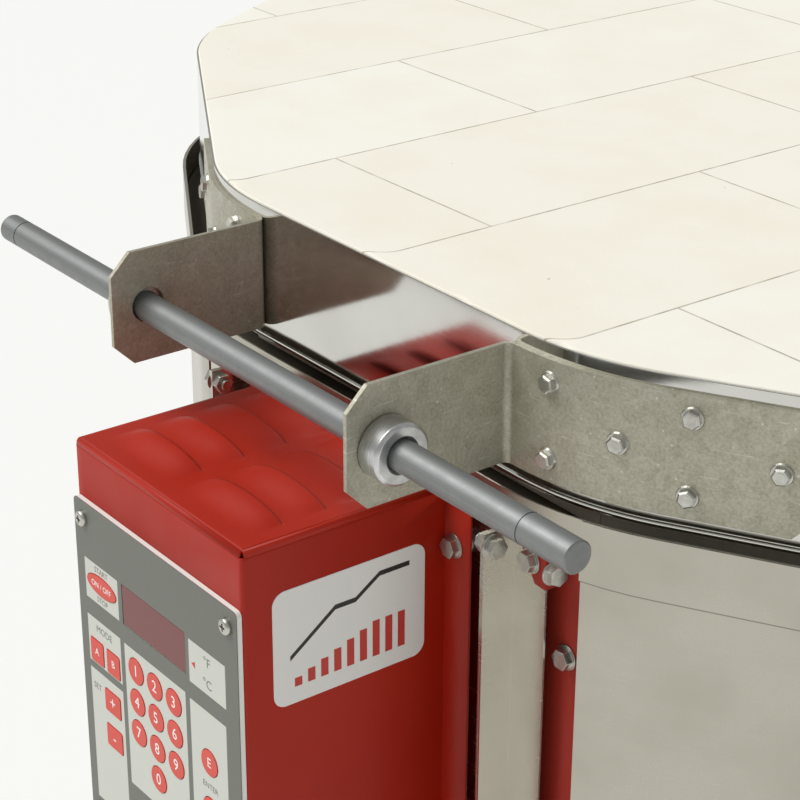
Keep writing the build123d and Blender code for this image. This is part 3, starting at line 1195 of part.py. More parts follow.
# Welded stand: a ring, two cross bars and four angle legs
leg_corner = RING_APOTHEM / cos(radians(TURN / 2)) * cos(radians(45))
LEG_SIDES = [(x, y) for x in (-1, 1) for y in (-1, 1)]
with BuildPart() as stand_frame:
    with BuildSketch(level_plane(STAND_HEIGHT)):
        add(sharp_outline(RING_APOTHEM))
        add(sharp_outline(RING_APOTHEM - RING_SHEET), mode=Mode.SUBTRACT)
        with Locations((0, BAR_Y), (0, -BAR_Y)):
            Rectangle(2 * RING_APOTHEM - RING_SHEET, RING_SHEET)
    extrude(amount=-RING_HEIGHT)
    with BuildSketch(level_plane(STAND_HEIGHT)):
        broad_middle = leg_corner - ANGLE_WIDTH / 2
        thin_middle = leg_corner - ANGLE_SHEET / 2
        for x, y in LEG_SIDES:
            with Locations((x * broad_middle, y * thin_middle)):
                Rectangle(ANGLE_WIDTH, ANGLE_SHEET)
            with Locations((x * thin_middle, y * broad_middle)):
                Rectangle(ANGLE_SHEET, ANGLE_WIDTH)
    extrude(amount=FOOT_HEIGHT - STAND_HEIGHT)
stand_frame.part.label = "stand_frame"

# Feet under the legs
with BuildPart() as feet:
    foot_middle = leg_corner - FOOT_INSET
    with BuildSketch(level_plane(0)):
        with Locations(*[(x * foot_middle, y * foot_middle) for x, y in LEG_SIDES]):
            Circle(FOOT_RADIUS)
    extrude(amount=FOOT_HEIGHT)
    chamfer(feet.edges().filter_by(GeomType.CIRCLE).group_by(Axis.Z)[0], FOOT_EDGE_BREAK)
feet.part.label = "feet"

PIECES = [lid_bricks, lid_band, handle_strap_left, handle_strap_right, hinge_strap_left, hinge_strap_right,
          strap_screws, handle_rod, handle_collars, hinge_bracket, hinge_rod, hinge_collars,
          wall_bricks_bottom, wall_bricks_middle, wall_bricks_top, floor_bricks, floor_band,
          backing_insulation, body_jacket, mounting_plate, body_screws, front_channel, side_strips,
          closure_bracket, closure_bolts, heating_elements, element_pins, pin_insulators, thermocouple,
          control_case, case_spacers, face_plate, face_screws, display_window,
          controller_board, relays, terminal_block, power_inlet, side_label, peephole_plug_lower,
          peephole_plug_upper, stand_frame, feet]

os.makedirs("parts", exist_ok=True)
for part in [piece.part for piece in PIECES] + key_parts:
    export_step(part, f"parts/{part.label}.step")
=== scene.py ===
"""Looks of a twelve-sided top-loading ceramic kiln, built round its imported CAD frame.

Sizes in the classes are millimetres, as in the part's own source; meshes are made in metres.
The kiln's front, with its control case, faces -Y, and its chamber axis stands at AXIS_Y.
"""

import json
import logging
import math
import random
from dataclasses import dataclass
from enum import Enum
from functools import partial
from typing import Any, Sequence

import bmesh
import bpy
from mathutils import Matrix, Vector

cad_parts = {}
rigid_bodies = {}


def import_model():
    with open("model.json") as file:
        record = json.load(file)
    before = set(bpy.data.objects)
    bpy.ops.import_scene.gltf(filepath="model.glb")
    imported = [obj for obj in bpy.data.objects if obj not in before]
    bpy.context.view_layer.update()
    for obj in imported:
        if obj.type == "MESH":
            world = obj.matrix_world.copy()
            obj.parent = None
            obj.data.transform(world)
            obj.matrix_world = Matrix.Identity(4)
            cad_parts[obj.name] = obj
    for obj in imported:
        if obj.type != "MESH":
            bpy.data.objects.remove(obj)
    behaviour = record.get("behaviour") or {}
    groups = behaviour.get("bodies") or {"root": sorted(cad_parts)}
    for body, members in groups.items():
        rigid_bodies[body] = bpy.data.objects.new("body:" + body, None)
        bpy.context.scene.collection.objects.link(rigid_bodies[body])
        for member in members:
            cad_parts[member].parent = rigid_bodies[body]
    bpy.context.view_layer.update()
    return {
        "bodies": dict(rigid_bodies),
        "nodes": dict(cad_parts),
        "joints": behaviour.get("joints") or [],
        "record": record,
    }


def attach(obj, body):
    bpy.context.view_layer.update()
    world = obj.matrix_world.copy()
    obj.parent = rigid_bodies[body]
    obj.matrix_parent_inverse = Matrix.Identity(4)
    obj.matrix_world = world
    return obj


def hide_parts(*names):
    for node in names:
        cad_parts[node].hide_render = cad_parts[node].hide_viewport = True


LOG = logging.getLogger("kiln")
MM = 0.001
AXIS_Y = 2.6725
SIDES = 12
HALF_TURN = math.pi / SIDES
LID_APOTHEM = 461.6
BAND_OUT = 462.5
LID_CORNER_RADIUS = 130.0
LID_BOTTOM = 992.3
LID_TOP = 1055.8
FLOOR_BOTTOM = 230.0
WALL_BOTTOM = 306.2
STRAP_OUT = 464.5
STRAP_MIDDLE = 1024.1
CASE_SHIFT = -8.2
CASE_BACK = 469.4
CASE_FRONT = 569.6
CASE_TOP = 978.8
CASE_BOTTOM = 338.8
CASE_WIDTH = 127.0
FACE_REACH = 572.2
FACE_TOP = 952.8
FACE_WIDTH = 126.0
# Angles of the rows of points round a bend in sheet metal
BEND_ARC = [math.radians(18 * step) for step in range(6)]
# Vertices nearer than this, in metres, are one
WELD = 2e-6
# Type size of the lettering over the height of its capitals, and half the ink's thickness in mm
EM_PER_CAPITAL = 1.38
INK_DEPTH = 0.02
PALE = "F6F6F4"


def linear(code: str) -> tuple[float, float, float, float]:
    """Turns an sRGB hex colour to linear values.

    Args:
        code: six hex digits.

    Returns:
        Linear red, green, blue and an alpha of one.
    """
    parts = [int(code[i:i + 2], 16) / 255 for i in (0, 2, 4)]
    values = [c / 12.92 if c <= 0.04045 else ((c + 0.055) / 1.055) ** 2.4 for c in parts]
    return (values[0], values[1], values[2], 1.0)


def wire(tree: bpy.types.NodeTree, target: bpy.types.Node, inputs: dict) -> None:
    """Sets or links a node's inputs.

    Args:
        tree: the node's tree.
        target: the node.
        inputs: socket name or number to a value, to the socket that it is linked from or, for a
            colour, to its hex code.
    """
    for key, value in inputs.items():
        socket = target.inputs[key]
        if isinstance(value, bpy.types.NodeSocket):
            tree.links.new(value, socket)
        else:
            socket.default_value = linear(value) if socket.type == "RGBA" else value


def node(tree: bpy.types.NodeTree, kind: str, inputs: dict | None = None, out: int = 0,
         **settings: Any) -> Any:
    """Adds a node with its settings, values and links.

    Args:
        tree: the tree that gets the node.
        kind: the node's type name.
        inputs: its inputs, as in wire().
        out: number of the output socket that is returned.
        **settings: properties of the node.

    Returns:
        The chosen output socket, or the node itself where it has none.
    """
    made = tree.nodes.new(kind)
    for name, value in settings.items():
        setattr(made, name, value)
    wire(tree, made, inputs or {})
    return made.outputs[out] if len(made.outputs) else made


class Look:
    """Node tree of one material while it is being made.

    Attributes:
        place: object coordinates in millimetres.
    """

    def __init__(self, material: bpy.types.Material) -> None:
        """Starts from the material's Principled shader."""
        self.tree = material.node_tree
        self.shader = self.tree.nodes["Principled BSDF"]
        metres = self.add("TexCoord", out=3)
        self.place = self.add("VectorMath", {0: metres, "Scale": 1 / MM}, operation="SCALE")

    def add(self, kind: str, inputs: dict | None = None, out: int = 0, **settings: Any) -> Any:
        """Adds a shader node; the arguments are those of node(), and kind goes without its prefix."""
        return node(self.tree, "ShaderNode" + kind, inputs, out, **settings)

    def feed(self, **inputs: Any) -> None:
        """Sets or links the shader's inputs; an underscore stands for a space."""
        wire(self.tree, self.shader, {name.replace("_", " "): value for name, value in inputs.items()})


@dataclass(frozen=True)
class Finish:
    """A surface finish: what the real material is and how its surface was made."""

    name: str
    colour: str
    roughness: float
    metallic: float = 0.0

    def material(self) -> bpy.types.Material:
        """Gives the finish's material, made on its first use.

        Returns:
            The material.
        """
        made = bpy.data.materials.get(self.name)
        if made is None:
            made = bpy.data.materials.new(self.name)
            made.use_nodes = True
            made.diffuse_color = linear(self.colour)
            look = Look(made)
            look.feed(Base_Color=self.colour, Roughness=self.roughness, Metallic=self.metallic)
            self.paint(look)
        return made

    def paint(self, look: Look) -> None:
        """Adds the finish's own nodes to the material that look holds."""


@dataclass(frozen=True)
class BakedPaint(Finish):
    """Stove-enamelled sheet steel: an even colour under a faint orange-peel skin."""

    shade: str = "000000"
    peel: float = 2.2
    gloss_patch: float = 30.0
    sheen: float = 0.28

    def paint(self, look: Look) -> None:
        """Adds tone drift, gloss patches and orange peel, whose cells are peel mm wide."""
        drift = look.add("TexNoise", {"Vector": look.place, "Scale": 1 / 70, "Detail": 3.0})
        amount = look.add("MapRange", {0: drift, 1: 0.35, 2: 0.7, 3: 0.0, 4: 0.55})
        colour = look.add("Mix", {0: amount, 6: self.colour, 7: self.shade}, 2, data_type="RGBA")
        patch = look.add("TexNoise", {"Vector": look.place, "Scale": 1 / self.gloss_patch, "Detail": 4.0})
        rough = look.add("MapRange", {0: patch, 1: 0.3, 2: 0.7, 3: self.roughness - 0.05,
                                      4: self.roughness + 0.07})
        skin = look.add("TexNoise", {"Vector": look.place, "Scale": 1 / self.peel, "Detail": 1.0})
        bump = look.add("Bump", {"Height": skin, "Strength": 0.12, "Distance": 0.3 * MM})
        look.feed(Base_Color=colour, Roughness=rough, Specular_IOR_Level=self.sheen, Normal=bump)


@dataclass(frozen=True)
class RolledStainless(Finish):
    """Cold-rolled stainless sheet: fine rolling lines, soft smudges, a slight waviness and, where a hem is
    given, a painted shadow line under it.
    """

    shade: str = "8A877F"
    wave: float = 0.0
    wave_size: float = 120.0
    line_contrast: float = 0.05
    # Height of a folded hem's lower edge, under which a thin line of painted shadow is drawn
    seam: float = -1.0
    seam_shade: str = "8B877B"

    def paint(self, look: Look) -> None:
        """Adds rolling lines about 1 mm apart, coarser than real so that they show, waves, and the painted
        shadow line under a hem.
        """
        lie = look.add("Mapping", {"Vector": look.place, "Scale": (0.012, 0.012, 0.9)})
        lines = look.add("TexNoise", {"Vector": lie, "Scale": 1.0, "Detail": 4.0, "Roughness": 0.7})
        smudge = look.add("TexNoise", {"Vector": look.place, "Scale": 1 / 45, "Detail": 5.0})
        tone = look.add("MapRange", {0: smudge, 1: 0.35, 2: 0.75, 3: 0.0, 4: 0.6})
        sheet = look.add("Mix", {0: tone, 6: self.colour, 7: self.shade}, 2, data_type="RGBA")
        height = look.add("SeparateXYZ", {0: look.place}, 2)
        # Painted shadow: within 0.5 mm of the hem's edge height the sheet takes the darker shadow colour
        under = look.add("Math", {0: height, 1: self.seam, 2: 0.5}, operation="COMPARE")
        colour = look.add("Mix", {0: under, 6: sheet, 7: self.seam_shade}, 2, data_type="RGBA")
        both = look.add("Math", {0: lines, 1: smudge}, operation="ADD")
        rough = look.add("MapRange", {0: both, 1: 0.7, 2: 1.3, 3: self.roughness - self.line_contrast,
                                      4: self.roughness + self.line_contrast})
        dents = look.add("TexNoise", {"Vector": look.place, "Scale": 1 / self.wave_size, "Detail": 1.0})
        slow = look.add("Bump", {"Height": dents, "Strength": 1.0, "Distance": self.wave * MM})
        fine = look.add("Bump", {"Height": lines, "Strength": 0.05, "Distance": 0.1 * MM, "Normal": slow})
        look.feed(Base_Color=colour, Roughness=rough, Normal=fine)


@dataclass(frozen=True)
class Galvanised(Finish):
    """Hot-dip galvanised sheet: a mottled grey skin of small spangles with scuffs and flecks."""

    shade: str = "5E5B52"
    fleck: str = "C9C7BD"
    spangle: float = 5.0

    def paint(self, look: Look) -> None:
        """Adds spangles spangle mm wide, mottling of about 1 mm, long scuffs and bright flecks."""
        cells = look.add("TexVoronoi", {"Vector": look.place, "Scale": 1 / self.spangle}, 1)
        grey = look.add("SeparateColor", {0: cells})
        mottle = look.add("TexNoise", {"Vector": look.place, "Scale": 0.75, "Detail": 5.0,
                                       "Roughness": 0.75})
        cloud = look.add("TexNoise", {"Vector": look.place, "Scale": 1 / 38, "Detail": 3.0})
        tone = 0.0
        for part, share in ((grey, 0.14), (mottle, 0.95), (cloud, 0.5)):
            tone = look.add("Math", {0: part, 1: share, 2: tone}, operation="MULTIPLY_ADD")
        amount = look.add("MapRange", {0: tone, 1: 0.55, 2: 1.1, 3: 0.0, 4: 1.0})
        base = look.add("Mix", {0: amount, 6: self.shade, 7: self.colour}, 2, data_type="RGBA")
        specks = look.add("TexVoronoi", {"Vector": look.place, "Scale": 1 / 6})
        lit = look.add("MapRange", {0: specks, 1: 0.10, 2: 0.05, 3: 0.0, 4: 0.7})
        lie = look.add("Mapping", {"Vector": look.place, "Rotation": (0.3, 0.5, 0.2),
                                   "Scale": (0.05, 0.05, 0.7)})
        scuffs = look.add("TexNoise", {"Vector": lie, "Scale": 1.6, "Detail": 2.0})
        scuffed = look.add("MapRange", {0: scuffs, 1: 0.66, 2: 0.74, 3: 0.0, 4: 0.45})
        marks = look.add("Math", {0: lit, 1: scuffed}, operation="MAXIMUM")
        colour = look.add("Mix", {0: marks, 6: base, 7: self.fleck}, 2, data_type="RGBA")
        rough = look.add("MapRange", {0: mottle, 1: 0.3, 2: 0.7, 3: self.roughness + 0.09,
                                      4: self.roughness - 0.09})
        bump = look.add("Bump", {"Height": mottle, "Strength": 0.18, "Distance": 0.2 * MM})
        look.feed(Base_Color=colour, Roughness=rough, Normal=bump)


@dataclass(frozen=True)
class DrawnSteel(Finish):
    """Cold-drawn or turned steel: faint lines along X and a few handling marks."""

    shade: str = "6F7275"
    lines: tuple[float, float, float] = (0.01, 1.3, 1.3)
    relief: float = 0.05

    def paint(self, look: Look) -> None:
        """Adds drawing lines about 0.8 mm apart and cloudy handling marks."""
        lie = look.add("Mapping", {"Vector": look.place, "Scale": self.lines})
        drawn = look.add("TexNoise", {"Vector": lie, "Scale": 1.0, "Detail": 3.0})
        marks = look.add("TexNoise", {"Vector": look.place, "Scale": 1 / 9, "Detail": 6.0, "Roughness": 0.7})
        both = look.add("Math", {0: drawn, 1: marks}, operation="ADD")
        amount = look.add("MapRange", {0: both, 1: 0.7, 2: 1.3, 3: 0.0, 4: 1.0})
        colour = look.add("Mix", {0: amount, 6: self.shade, 7: self.colour}, 2, data_type="RGBA")
        rough = look.add("MapRange", {0: marks, 1: 0.3, 2: 0.7, 3: self.roughness + 0.06,
                                      4: self.roughness - 0.04})
        bump = look.add("Bump", {"Height": drawn, "Strength": self.relief, "Distance": 0.1 * MM})
        look.feed(Base_Color=colour, Roughness=rough, Normal=bump)


class Bond(Enum):
    """How the bricks of a firebrick surface lie."""

    CEMENTED_ROWS = "rows of half-brick width with staggered joints"
    LOOSE = "single bricks with no drawn joints"


@dataclass(frozen=True)
class Firebrick(Finish):
    """Insulating firebrick, sawn and rubbed flat: matt cream with pores and faint stains."""

    shade: str = "E6DCC4"
    # Colour of the pores: painted shade for the hollow inside each
    pore: str = "8E806A"
    joint: str = "B9B3A2"
    bond: Bond = Bond.LOOSE
    row_width: float = 114.3
    row_shift: float = -4.5
    brick_length: float = 228.6
    even_joint: float = -277.0
    odd_joint: float = -400.0
    corner_reach: float = 14.0
    corner_bend: float = 9.0

    def paint(self, look: Look) -> None:
        """Adds brick tones, stains, pores of 0.5 to 1.5 mm painted darker as the shade inside them and, on a
        cemented slab, its joints.
        """
        stain = look.add("TexNoise", {"Vector": look.place, "Scale": 1 / 55, "Detail": 6.0,
                                      "Roughness": 0.6})
        amount = look.add("MapRange", {0: stain, 1: 0.42, 2: 0.72, 3: 0.0, 4: 0.32})
        joints = None
        if self.bond is Bond.CEMENTED_ROWS:
            tone, joints = self.rows(look)
            amount = look.add("Math", {0: tone, 1: 0.3, 2: amount}, operation="MULTIPLY_ADD",
                              use_clamp=True)
        body = look.add("Mix", {0: amount, 6: self.colour, 7: self.shade}, 2, data_type="RGBA")
        holes = look.add("TexVoronoi", {"Vector": look.place, "Scale": 1 / 13})
        sizes = look.add("TexNoise", {"Vector": look.place, "Scale": 1 / 17, "Detail": 1.0})
        reach = look.add("MapRange", {0: sizes, 1: 0.5, 2: 0.8, 3: 0.0, 4: 0.085})
        inside = look.add("Math", {0: reach, 1: holes}, operation="SUBTRACT")
        pores = look.add("MapRange", {0: inside, 1: 0.0, 2: 0.03, 3: 0.0, 4: 0.85})
        # Painted shade: the pores take a darker colour for the shade inside them
        colour = look.add("Mix", {0: pores, 6: body, 7: self.pore}, 2, data_type="RGBA")
        grain = look.add("TexNoise", {"Vector": look.place, "Scale": 0.8, "Detail": 4.0})
        height = look.add("Math", {0: pores, 1: -4.0, 2: grain}, operation="MULTIPLY_ADD")
        if joints is not None:
            colour = look.add("Mix", {0: joints, 6: colour, 7: self.joint}, 2, data_type="RGBA")
            height = look.add("Math", {0: joints, 1: -2.0, 2: height}, operation="MULTIPLY_ADD")
        bump = look.add("Bump", {"Height": height, "Strength": 0.35, "Distance": 0.2 * MM})
        look.feed(Base_Color=colour, Normal=bump)

    def rows(self, look: Look) -> tuple[Any, Any]:
        """Lays out the slab's bricks.

        Args:
            look: the material in the making.

        Returns:
            A random tone for each brick, and how much of each point is joint.
        """
        x, y, _ = look.add("SeparateXYZ", {0: look.place}).node.outputs
        along = look.add("Math", {0: y, 1: AXIS_Y}, operation="SUBTRACT")
        # Near the front edge the cement fills the worn corner of a brick, so its line turns aside
        near = look.add("MapRange", {0: along, 1: -LID_APOTHEM, 2: self.corner_reach - LID_APOTHEM,
                                     3: 1.0, 4: 0.0})
        worn = look.add("Math", {0: near, 1: 2.2}, operation="POWER")
        across = look.add("Math", {0: worn, 1: self.corner_bend, 2: x}, operation="MULTIPLY_ADD")
        rows = look.add("Math", {0: across, 1: self.row_shift}, operation="SUBTRACT")
        rows = look.add("Math", {0: rows, 1: self.row_width}, operation="DIVIDE")
        row = look.add("Math", {0: rows}, operation="FLOOR")
        parity = look.add("Math", {0: row, 1: 2.0}, operation="FLOORED_MODULO")
        start = look.add("MapRange", {0: parity, 1: 0.0, 2: 1.0, 3: self.even_joint, 4: self.odd_joint})
        bricks = look.add("Math", {0: along, 1: start}, operation="SUBTRACT")
        bricks = look.add("Math", {0: bricks, 1: self.brick_length}, operation="DIVIDE")
        brick = look.add("Math", {0: bricks}, operation="FLOOR")
        which = look.add("CombineXYZ", {0: row, 1: brick, 2: 3.0})
        tone = look.add("TexWhiteNoise", {0: which}, noise_dimensions="3D")
        gaps = []
        for gap, size in ((rows, self.row_width), (bricks, self.brick_length)):
            # Distance in mm from the nearest joint, which lies at a whole number
            for operation, value in (("ADD", 0.5), ("FRACT", 0.0), ("SUBTRACT", 0.5), ("ABSOLUTE", 0.0),
                                     ("MULTIPLY", size)):
                gap = look.add("Math", {0: gap, 1: value}, operation=operation)
            gaps.append(gap)
        nearest = look.add("Math", {0: gaps[0], 1: gaps[1]}, operation="MINIMUM")
        line = look.add("MapRange", {0: nearest, 1: 0.25, 2: 0.7, 3: 1.0, 4: 0.0})
        faint = look.add("TexNoise", {"Vector": look.place, "Scale": 1 / 16, "Detail": 4.0})
        strength = look.add("MapRange", {0: faint, 1: 0.3, 2: 0.6, 3: 0.35, 4: 1.0})
        return tone, look.add("Math", {0: line, 1: strength}, operation="MULTIPLY")


@dataclass(frozen=True)
class Moulded(Finish):
    """Moulded or pressed stuff with a fine even grain: plastic, rubber, ceramic or film."""

    grain: float = 0.5
    depth: float = 0.05
    drift: float = 0.04

    def paint(self, look: Look) -> None:
        """Adds a grain whose cells are grain mm wide and a slow change of gloss."""
        fine = look.add("TexNoise", {"Vector": look.place, "Scale": 1 / self.grain, "Detail": 2.0})
        bump = look.add("Bump", {"Height": fine, "Strength": 0.3, "Distance": self.depth * MM})
        slow = look.add("TexNoise", {"Vector": look.place, "Scale": 1 / 20, "Detail": 3.0})
        rough = look.add("MapRange", {0: slow, 1: 0.3, 2: 0.7, 3: self.roughness - self.drift,
                                      4: self.roughness + self.drift})
        look.feed(Roughness=rough, Normal=bump)


@dataclass(frozen=True)
class PrintedPlate(Finish):
    """Laminated plate: a printed grey face over a white core that shows along its edges."""

    panel: str = "C9CBC2"
    core: str = "EDEDE8"
    speckle: str = "4E5048"
    face_depth: float = 0.35
    # Panels of the print: left, top, right and bottom, from the plate's top left corner
    panels: tuple[tuple[float, float, float, float], ...] = (
        (6.6, 27.0, 33.9, 46.3), (89.6, 28.0, 116.6, 48.0), (6.2, 55.0, 33.8, 78.0),
        (6.2, 81.7, 33.8, 150.0), (37.1, 55.4, 85.7, 126.0), (89.1, 56.3, 116.1, 126.0))

    def paint(self, look: Look) -> None:
        """Draws the panels as boxes by place, and leaves the core bare behind the face."""
        x, y, z = look.add("SeparateXYZ", {0: look.place}).node.outputs
        inside = 0.0
        for left, top, right, bottom in self.panels:
            x_middle = CASE_SHIFT + (left + right - FACE_WIDTH) / 2
            z_middle = FACE_TOP - (top + bottom) / 2
            x_in = look.add("Math", {0: x, 1: x_middle, 2: (right - left) / 2}, operation="COMPARE")
            z_in = look.add("Math", {0: z, 1: z_middle, 2: (bottom - top) / 2}, operation="COMPARE")
            box = look.add("Math", {0: x_in, 1: z_in}, operation="MULTIPLY")
            inside = look.add("Math", {0: box, 1: inside}, operation="MAXIMUM")
        fine = look.add("TexNoise", {"Vector": look.place, "Scale": 0.9, "Detail": 3.0})
        amount = look.add("MapRange", {0: fine, 1: 0.3, 2: 0.7, 3: 0.0, 4: 0.12})
        face = look.add("Mix", {0: amount, 6: self.colour, 7: self.speckle}, 2, data_type="RGBA")
        printed = look.add("Mix", {0: inside, 6: face, 7: self.panel}, 2, data_type="RGBA")
        front = look.add("Math", {0: y, 1: AXIS_Y - FACE_REACH + self.face_depth}, operation="LESS_THAN")
        colour = look.add("Mix", {0: front, 6: self.core, 7: printed}, 2, data_type="RGBA")
        bump = look.add("Bump", {"Height": fine, "Strength": 0.05, "Distance": 0.1 * MM})
        look.feed(Base_Color=colour, Normal=bump)


@dataclass(frozen=True)
class CircuitBoard(Finish):
    """Glass-epoxy circuit board: green lacquer over a copper pattern."""

    track: str = "3F8A4C"

    def paint(self, look: Look) -> None:
        """Adds tracks about 2.5 mm apart that show through the lacquer."""
        tracks = look.add("TexVoronoi", {"Vector": look.place, "Scale": 0.4}, distance="CHEBYCHEV",
                          feature="F2")
        amount = look.add("MapRange", {0: tracks, 1: 0.55, 2: 0.6, 3: 0.0, 4: 0.6})
        colour = look.add("Mix", {0: amount, 6: self.colour, 7: self.track}, 2, data_type="RGBA")
        bump = look.add("Bump", {"Height": amount, "Strength": 0.3, "Distance": 0.1 * MM})
        look.feed(Base_Color=colour, Normal=bump)


# Each finish is named for the real material; the comment over it says what that gives the eye
# Near white and chalky, with fine joints
LID_BRICK = Firebrick("firebrick_cemented_slab", "F4F1E7", 0.92, shade="EAE2CC", joint="A9A18E",
                      bond=Bond.CEMENTED_ROWS)
# Cream and chalky
WALL_BRICK = Firebrick("firebrick_wall", "EFE9DA", 0.95)
# A soft mirror
BRIGHT_STAINLESS = RolledStainless("stainless_bright_annealed", "D2D1CC", 0.10, 1.0, shade="C2C1BA",
                                   wave=0.55, wave_size=150.0, line_contrast=0.03)
# Cloudy reflections, with a painted shadow line under the hem at 966 mm
JACKET_STAINLESS = RolledStainless("stainless_2b_sheet", "B9B5A9", 0.30, 1.0, shade="A6A295",
                                   wave=0.5, wave_size=170.0, seam=966.0)
# Clearer reflections than the jacket's
TRIM_STAINLESS = RolledStainless("stainless_formed_strip", "D0CDC3", 0.24, 1.0, shade="BDB9AD", wave=0.1)
# Mottled and dull
GALVANISED = Galvanised("galvanised_sheet", "C2BFB0", 0.47, 0.55, shade="97937F", fleck="D8D6CC")
STAND_STEEL = Galvanised("galvanised_angle", "B9B7AE", 0.48, 0.8, shade="85827A", fleck="D0CEC6")
# Pale and even
ZINC = DrawnSteel("zinc_plated_fastener", "CFCEC7", 0.32, 1.0, shade="B4B3AB", lines=(0.4, 0.4, 0.4),
                  relief=0.01)
# Satin and cool
ROD_STEEL = DrawnSteel("cold_drawn_rod", "8F9190", 0.50, 0.8, shade="868887", relief=0.02)
# Bright, with turned faces
COLLAR_STEEL = DrawnSteel("zinc_plated_collar", "D9DADA", 0.30, 1.0, shade="B3B4B4", lines=(1.2, 0.2, 0.2))
# Warm signal red with a low gloss, then a browner one
RED_PAINT = BakedPaint("red_stove_enamel", "AC2006", 0.46, shade="9E1B06")
DARK_RED_PAINT = BakedPaint("dark_red_enamel", "A23226", 0.48, shade="92291E")
# Half matt grey with pale panels
FACE_LAMINATE = PrintedPlate("grey_print_on_white_core", "686A61", 0.42)
# Dark red and glossy
DISPLAY_TINT = Moulded("tinted_acrylic_window", "6E2A28", 0.16, grain=6.0, depth=0.01)
# Flat film and screen-printed inks, all half matt
KEY_RED = Moulded("red_key_film", "D2402E", 0.38, grain=0.6, depth=0.01)
WHITE_INK = Moulded("white_ink", "F1F0EC", 0.5, grain=0.4, depth=0.005)
GREY_INK = Moulded("grey_ink", "6E7069", 0.5, grain=0.4, depth=0.005)
RED_INK = Moulded("red_ink", "C43A30", 0.45, grain=0.4, depth=0.005)
BLACK_INK = Moulded("black_ink", "2A2724", 0.45, grain=0.4, depth=0.005)
LABEL_FILM = Moulded("white_vinyl_film", "ECEBE7", 0.33, grain=1.2, depth=0.01)
# Unglazed, cream and gritty
CERAMIC = Moulded("pressed_ceramic", "EDE6D6", 0.75, grain=0.7, depth=0.12)
# Dull black
BLACK_PLASTIC = Moulded("black_moulded_plastic", "1B1B1C", 0.5, grain=0.5, depth=0.03)
FOOT_RUBBER = Moulded("black_foot_rubber", "242424", 0.7, grain=0.9, depth=0.08)
# Mineral fibre painted dark as the shade of the deep gap under the lid
FIBRE_DARKENED_AS_SHADE = Moulded("mineral_fibre_painted_shade", "4E4A3F", 0.95, grain=2.5, depth=0.5)
# Dark and scaly
ELEMENT_WIRE = DrawnSteel("oxidised_resistance_wire", "6C6259", 0.55, 0.8, shade="4A433C",
                          lines=(0.5, 0.5, 0.5))
# Green and glossy over faint tracks
BOARD = CircuitBoard("epoxy_board", "1F5A2E", 0.35)


def link(name: str, data: bpy.types.ID) -> bpy.types.Object:
    """Makes an object from its data and links it to the scene."""
    made = bpy.data.objects.new(name, data)
    bpy.context.scene.collection.objects.link(made)
    return made


def shaped(name: str, shape: bmesh.types.BMesh, angle: float | None = 32.0,
           outward: bool = True) -> bpy.types.Object:
    """Turns a bmesh into an object.

    Args:
        name: the piece's name.
        shape: its mesh, in metres; it is freed.
        angle: edges sharper than this many degrees stay sharp; None leaves every face flat.
        outward: whether its faces are first turned to point outwards.

    Returns:
        The new object, at the origin.
    """
    if outward:
        bmesh.ops.recalc_face_normals(shape, faces=shape.faces)
    mesh = bpy.data.meshes.new(name)
    shape.to_mesh(mesh)
    shape.free()
    if angle is not None:
        mesh.shade_smooth()
        mesh.set_sharp_from_angle(angle=math.radians(angle))
    return link(name, mesh)


def weighted(piece: bpy.types.Object, bevel: float = 0.0) -> bpy.types.Object:
    """Rounds a piece's sharp edges and keeps its broad faces evenly shaded.

    Args:
        piece: the object.
        bevel: width of the rounding in mm; nought leaves the edges sharp.

    Returns:
        The same object.
    """
    if bevel > 0:
        rounding = piece.modifiers.new("edge_rounding", "BEVEL")
        rounding.width = bevel * MM
        rounding.segments = 2
        rounding.limit_method = "ANGLE"
        rounding.angle_limit = math.radians(40)
        rounding.harden_normals = False
    level = piece.modifiers.new("even_shading", "WEIGHTED_NORMAL")
    level.keep_sharp = True
    return piece


def skin(shape: bmesh.types.BMesh, one: Sequence, two: Sequence, closed: bool = True) -> None:
    """Fills the strip between two rows of vertices.

    Args:
        shape: the mesh.
        one: the first row.
        two: the second row, as long as the first.
        closed: whether the rows' ends are joined too.
    """
    for i in range(len(one) if closed else len(one) - 1):
        j = (i + 1) % len(one)
        shape.faces.new((one[i], one[j], two[j], two[i]))


def outline(reach: float, straight: int, arc: int) -> list[Vector]:
    """Points of the kiln's rounded twelve-sided outline.

    Args:
        reach: distance of its flat sides from the axis, in mm.
        straight: steps along each straight.
        arc: steps round each corner.

    Returns:
        Points from the front side's left end, anticlockwise, in mm from the axis.
    """
    radius = LID_CORNER_RADIUS + reach - LID_APOTHEM
    half = (reach - radius) * math.tan(HALF_TURN)
    points = []
    for side in range(SIDES):
        turn = side * 2 * HALF_TURN
        out = Vector((math.sin(turn), -math.cos(turn), 0))
        along = Vector((math.cos(turn), math.sin(turn), 0))
        points += [out * reach + along * half * (2 * step / straight - 1) for step in range(straight)]
        centre = out * (reach - radius) + along * half
        for step in range(arc):
            angle = turn + 2 * HALF_TURN * step / arc
            points.append(centre + Vector((math.sin(angle), -math.cos(angle), 0)) * radius)
    return points


def ring_sheet(name: str, profile: Sequence[tuple[float, float]]) -> bpy.types.Object:
    """Sweeps a closed profile round the kiln's outline.

    Args:
        name: the piece's name.
        profile: reach and height of each corner of the sheet's section, in mm.

    Returns:
        The swept band.
    """
    shape = bmesh.new()
    rings = []
    for reach, height in profile:
        spots = outline(reach, straight=8, arc=14)
        rings.append([shape.verts.new((p.x * MM, (p.y + AXIS_Y) * MM, height * MM)) for p in spots])
    for one, two in zip(rings, rings[1:] + rings[:1]):
        skin(shape, one, two)
    return weighted(shaped(name, shape, angle=40))


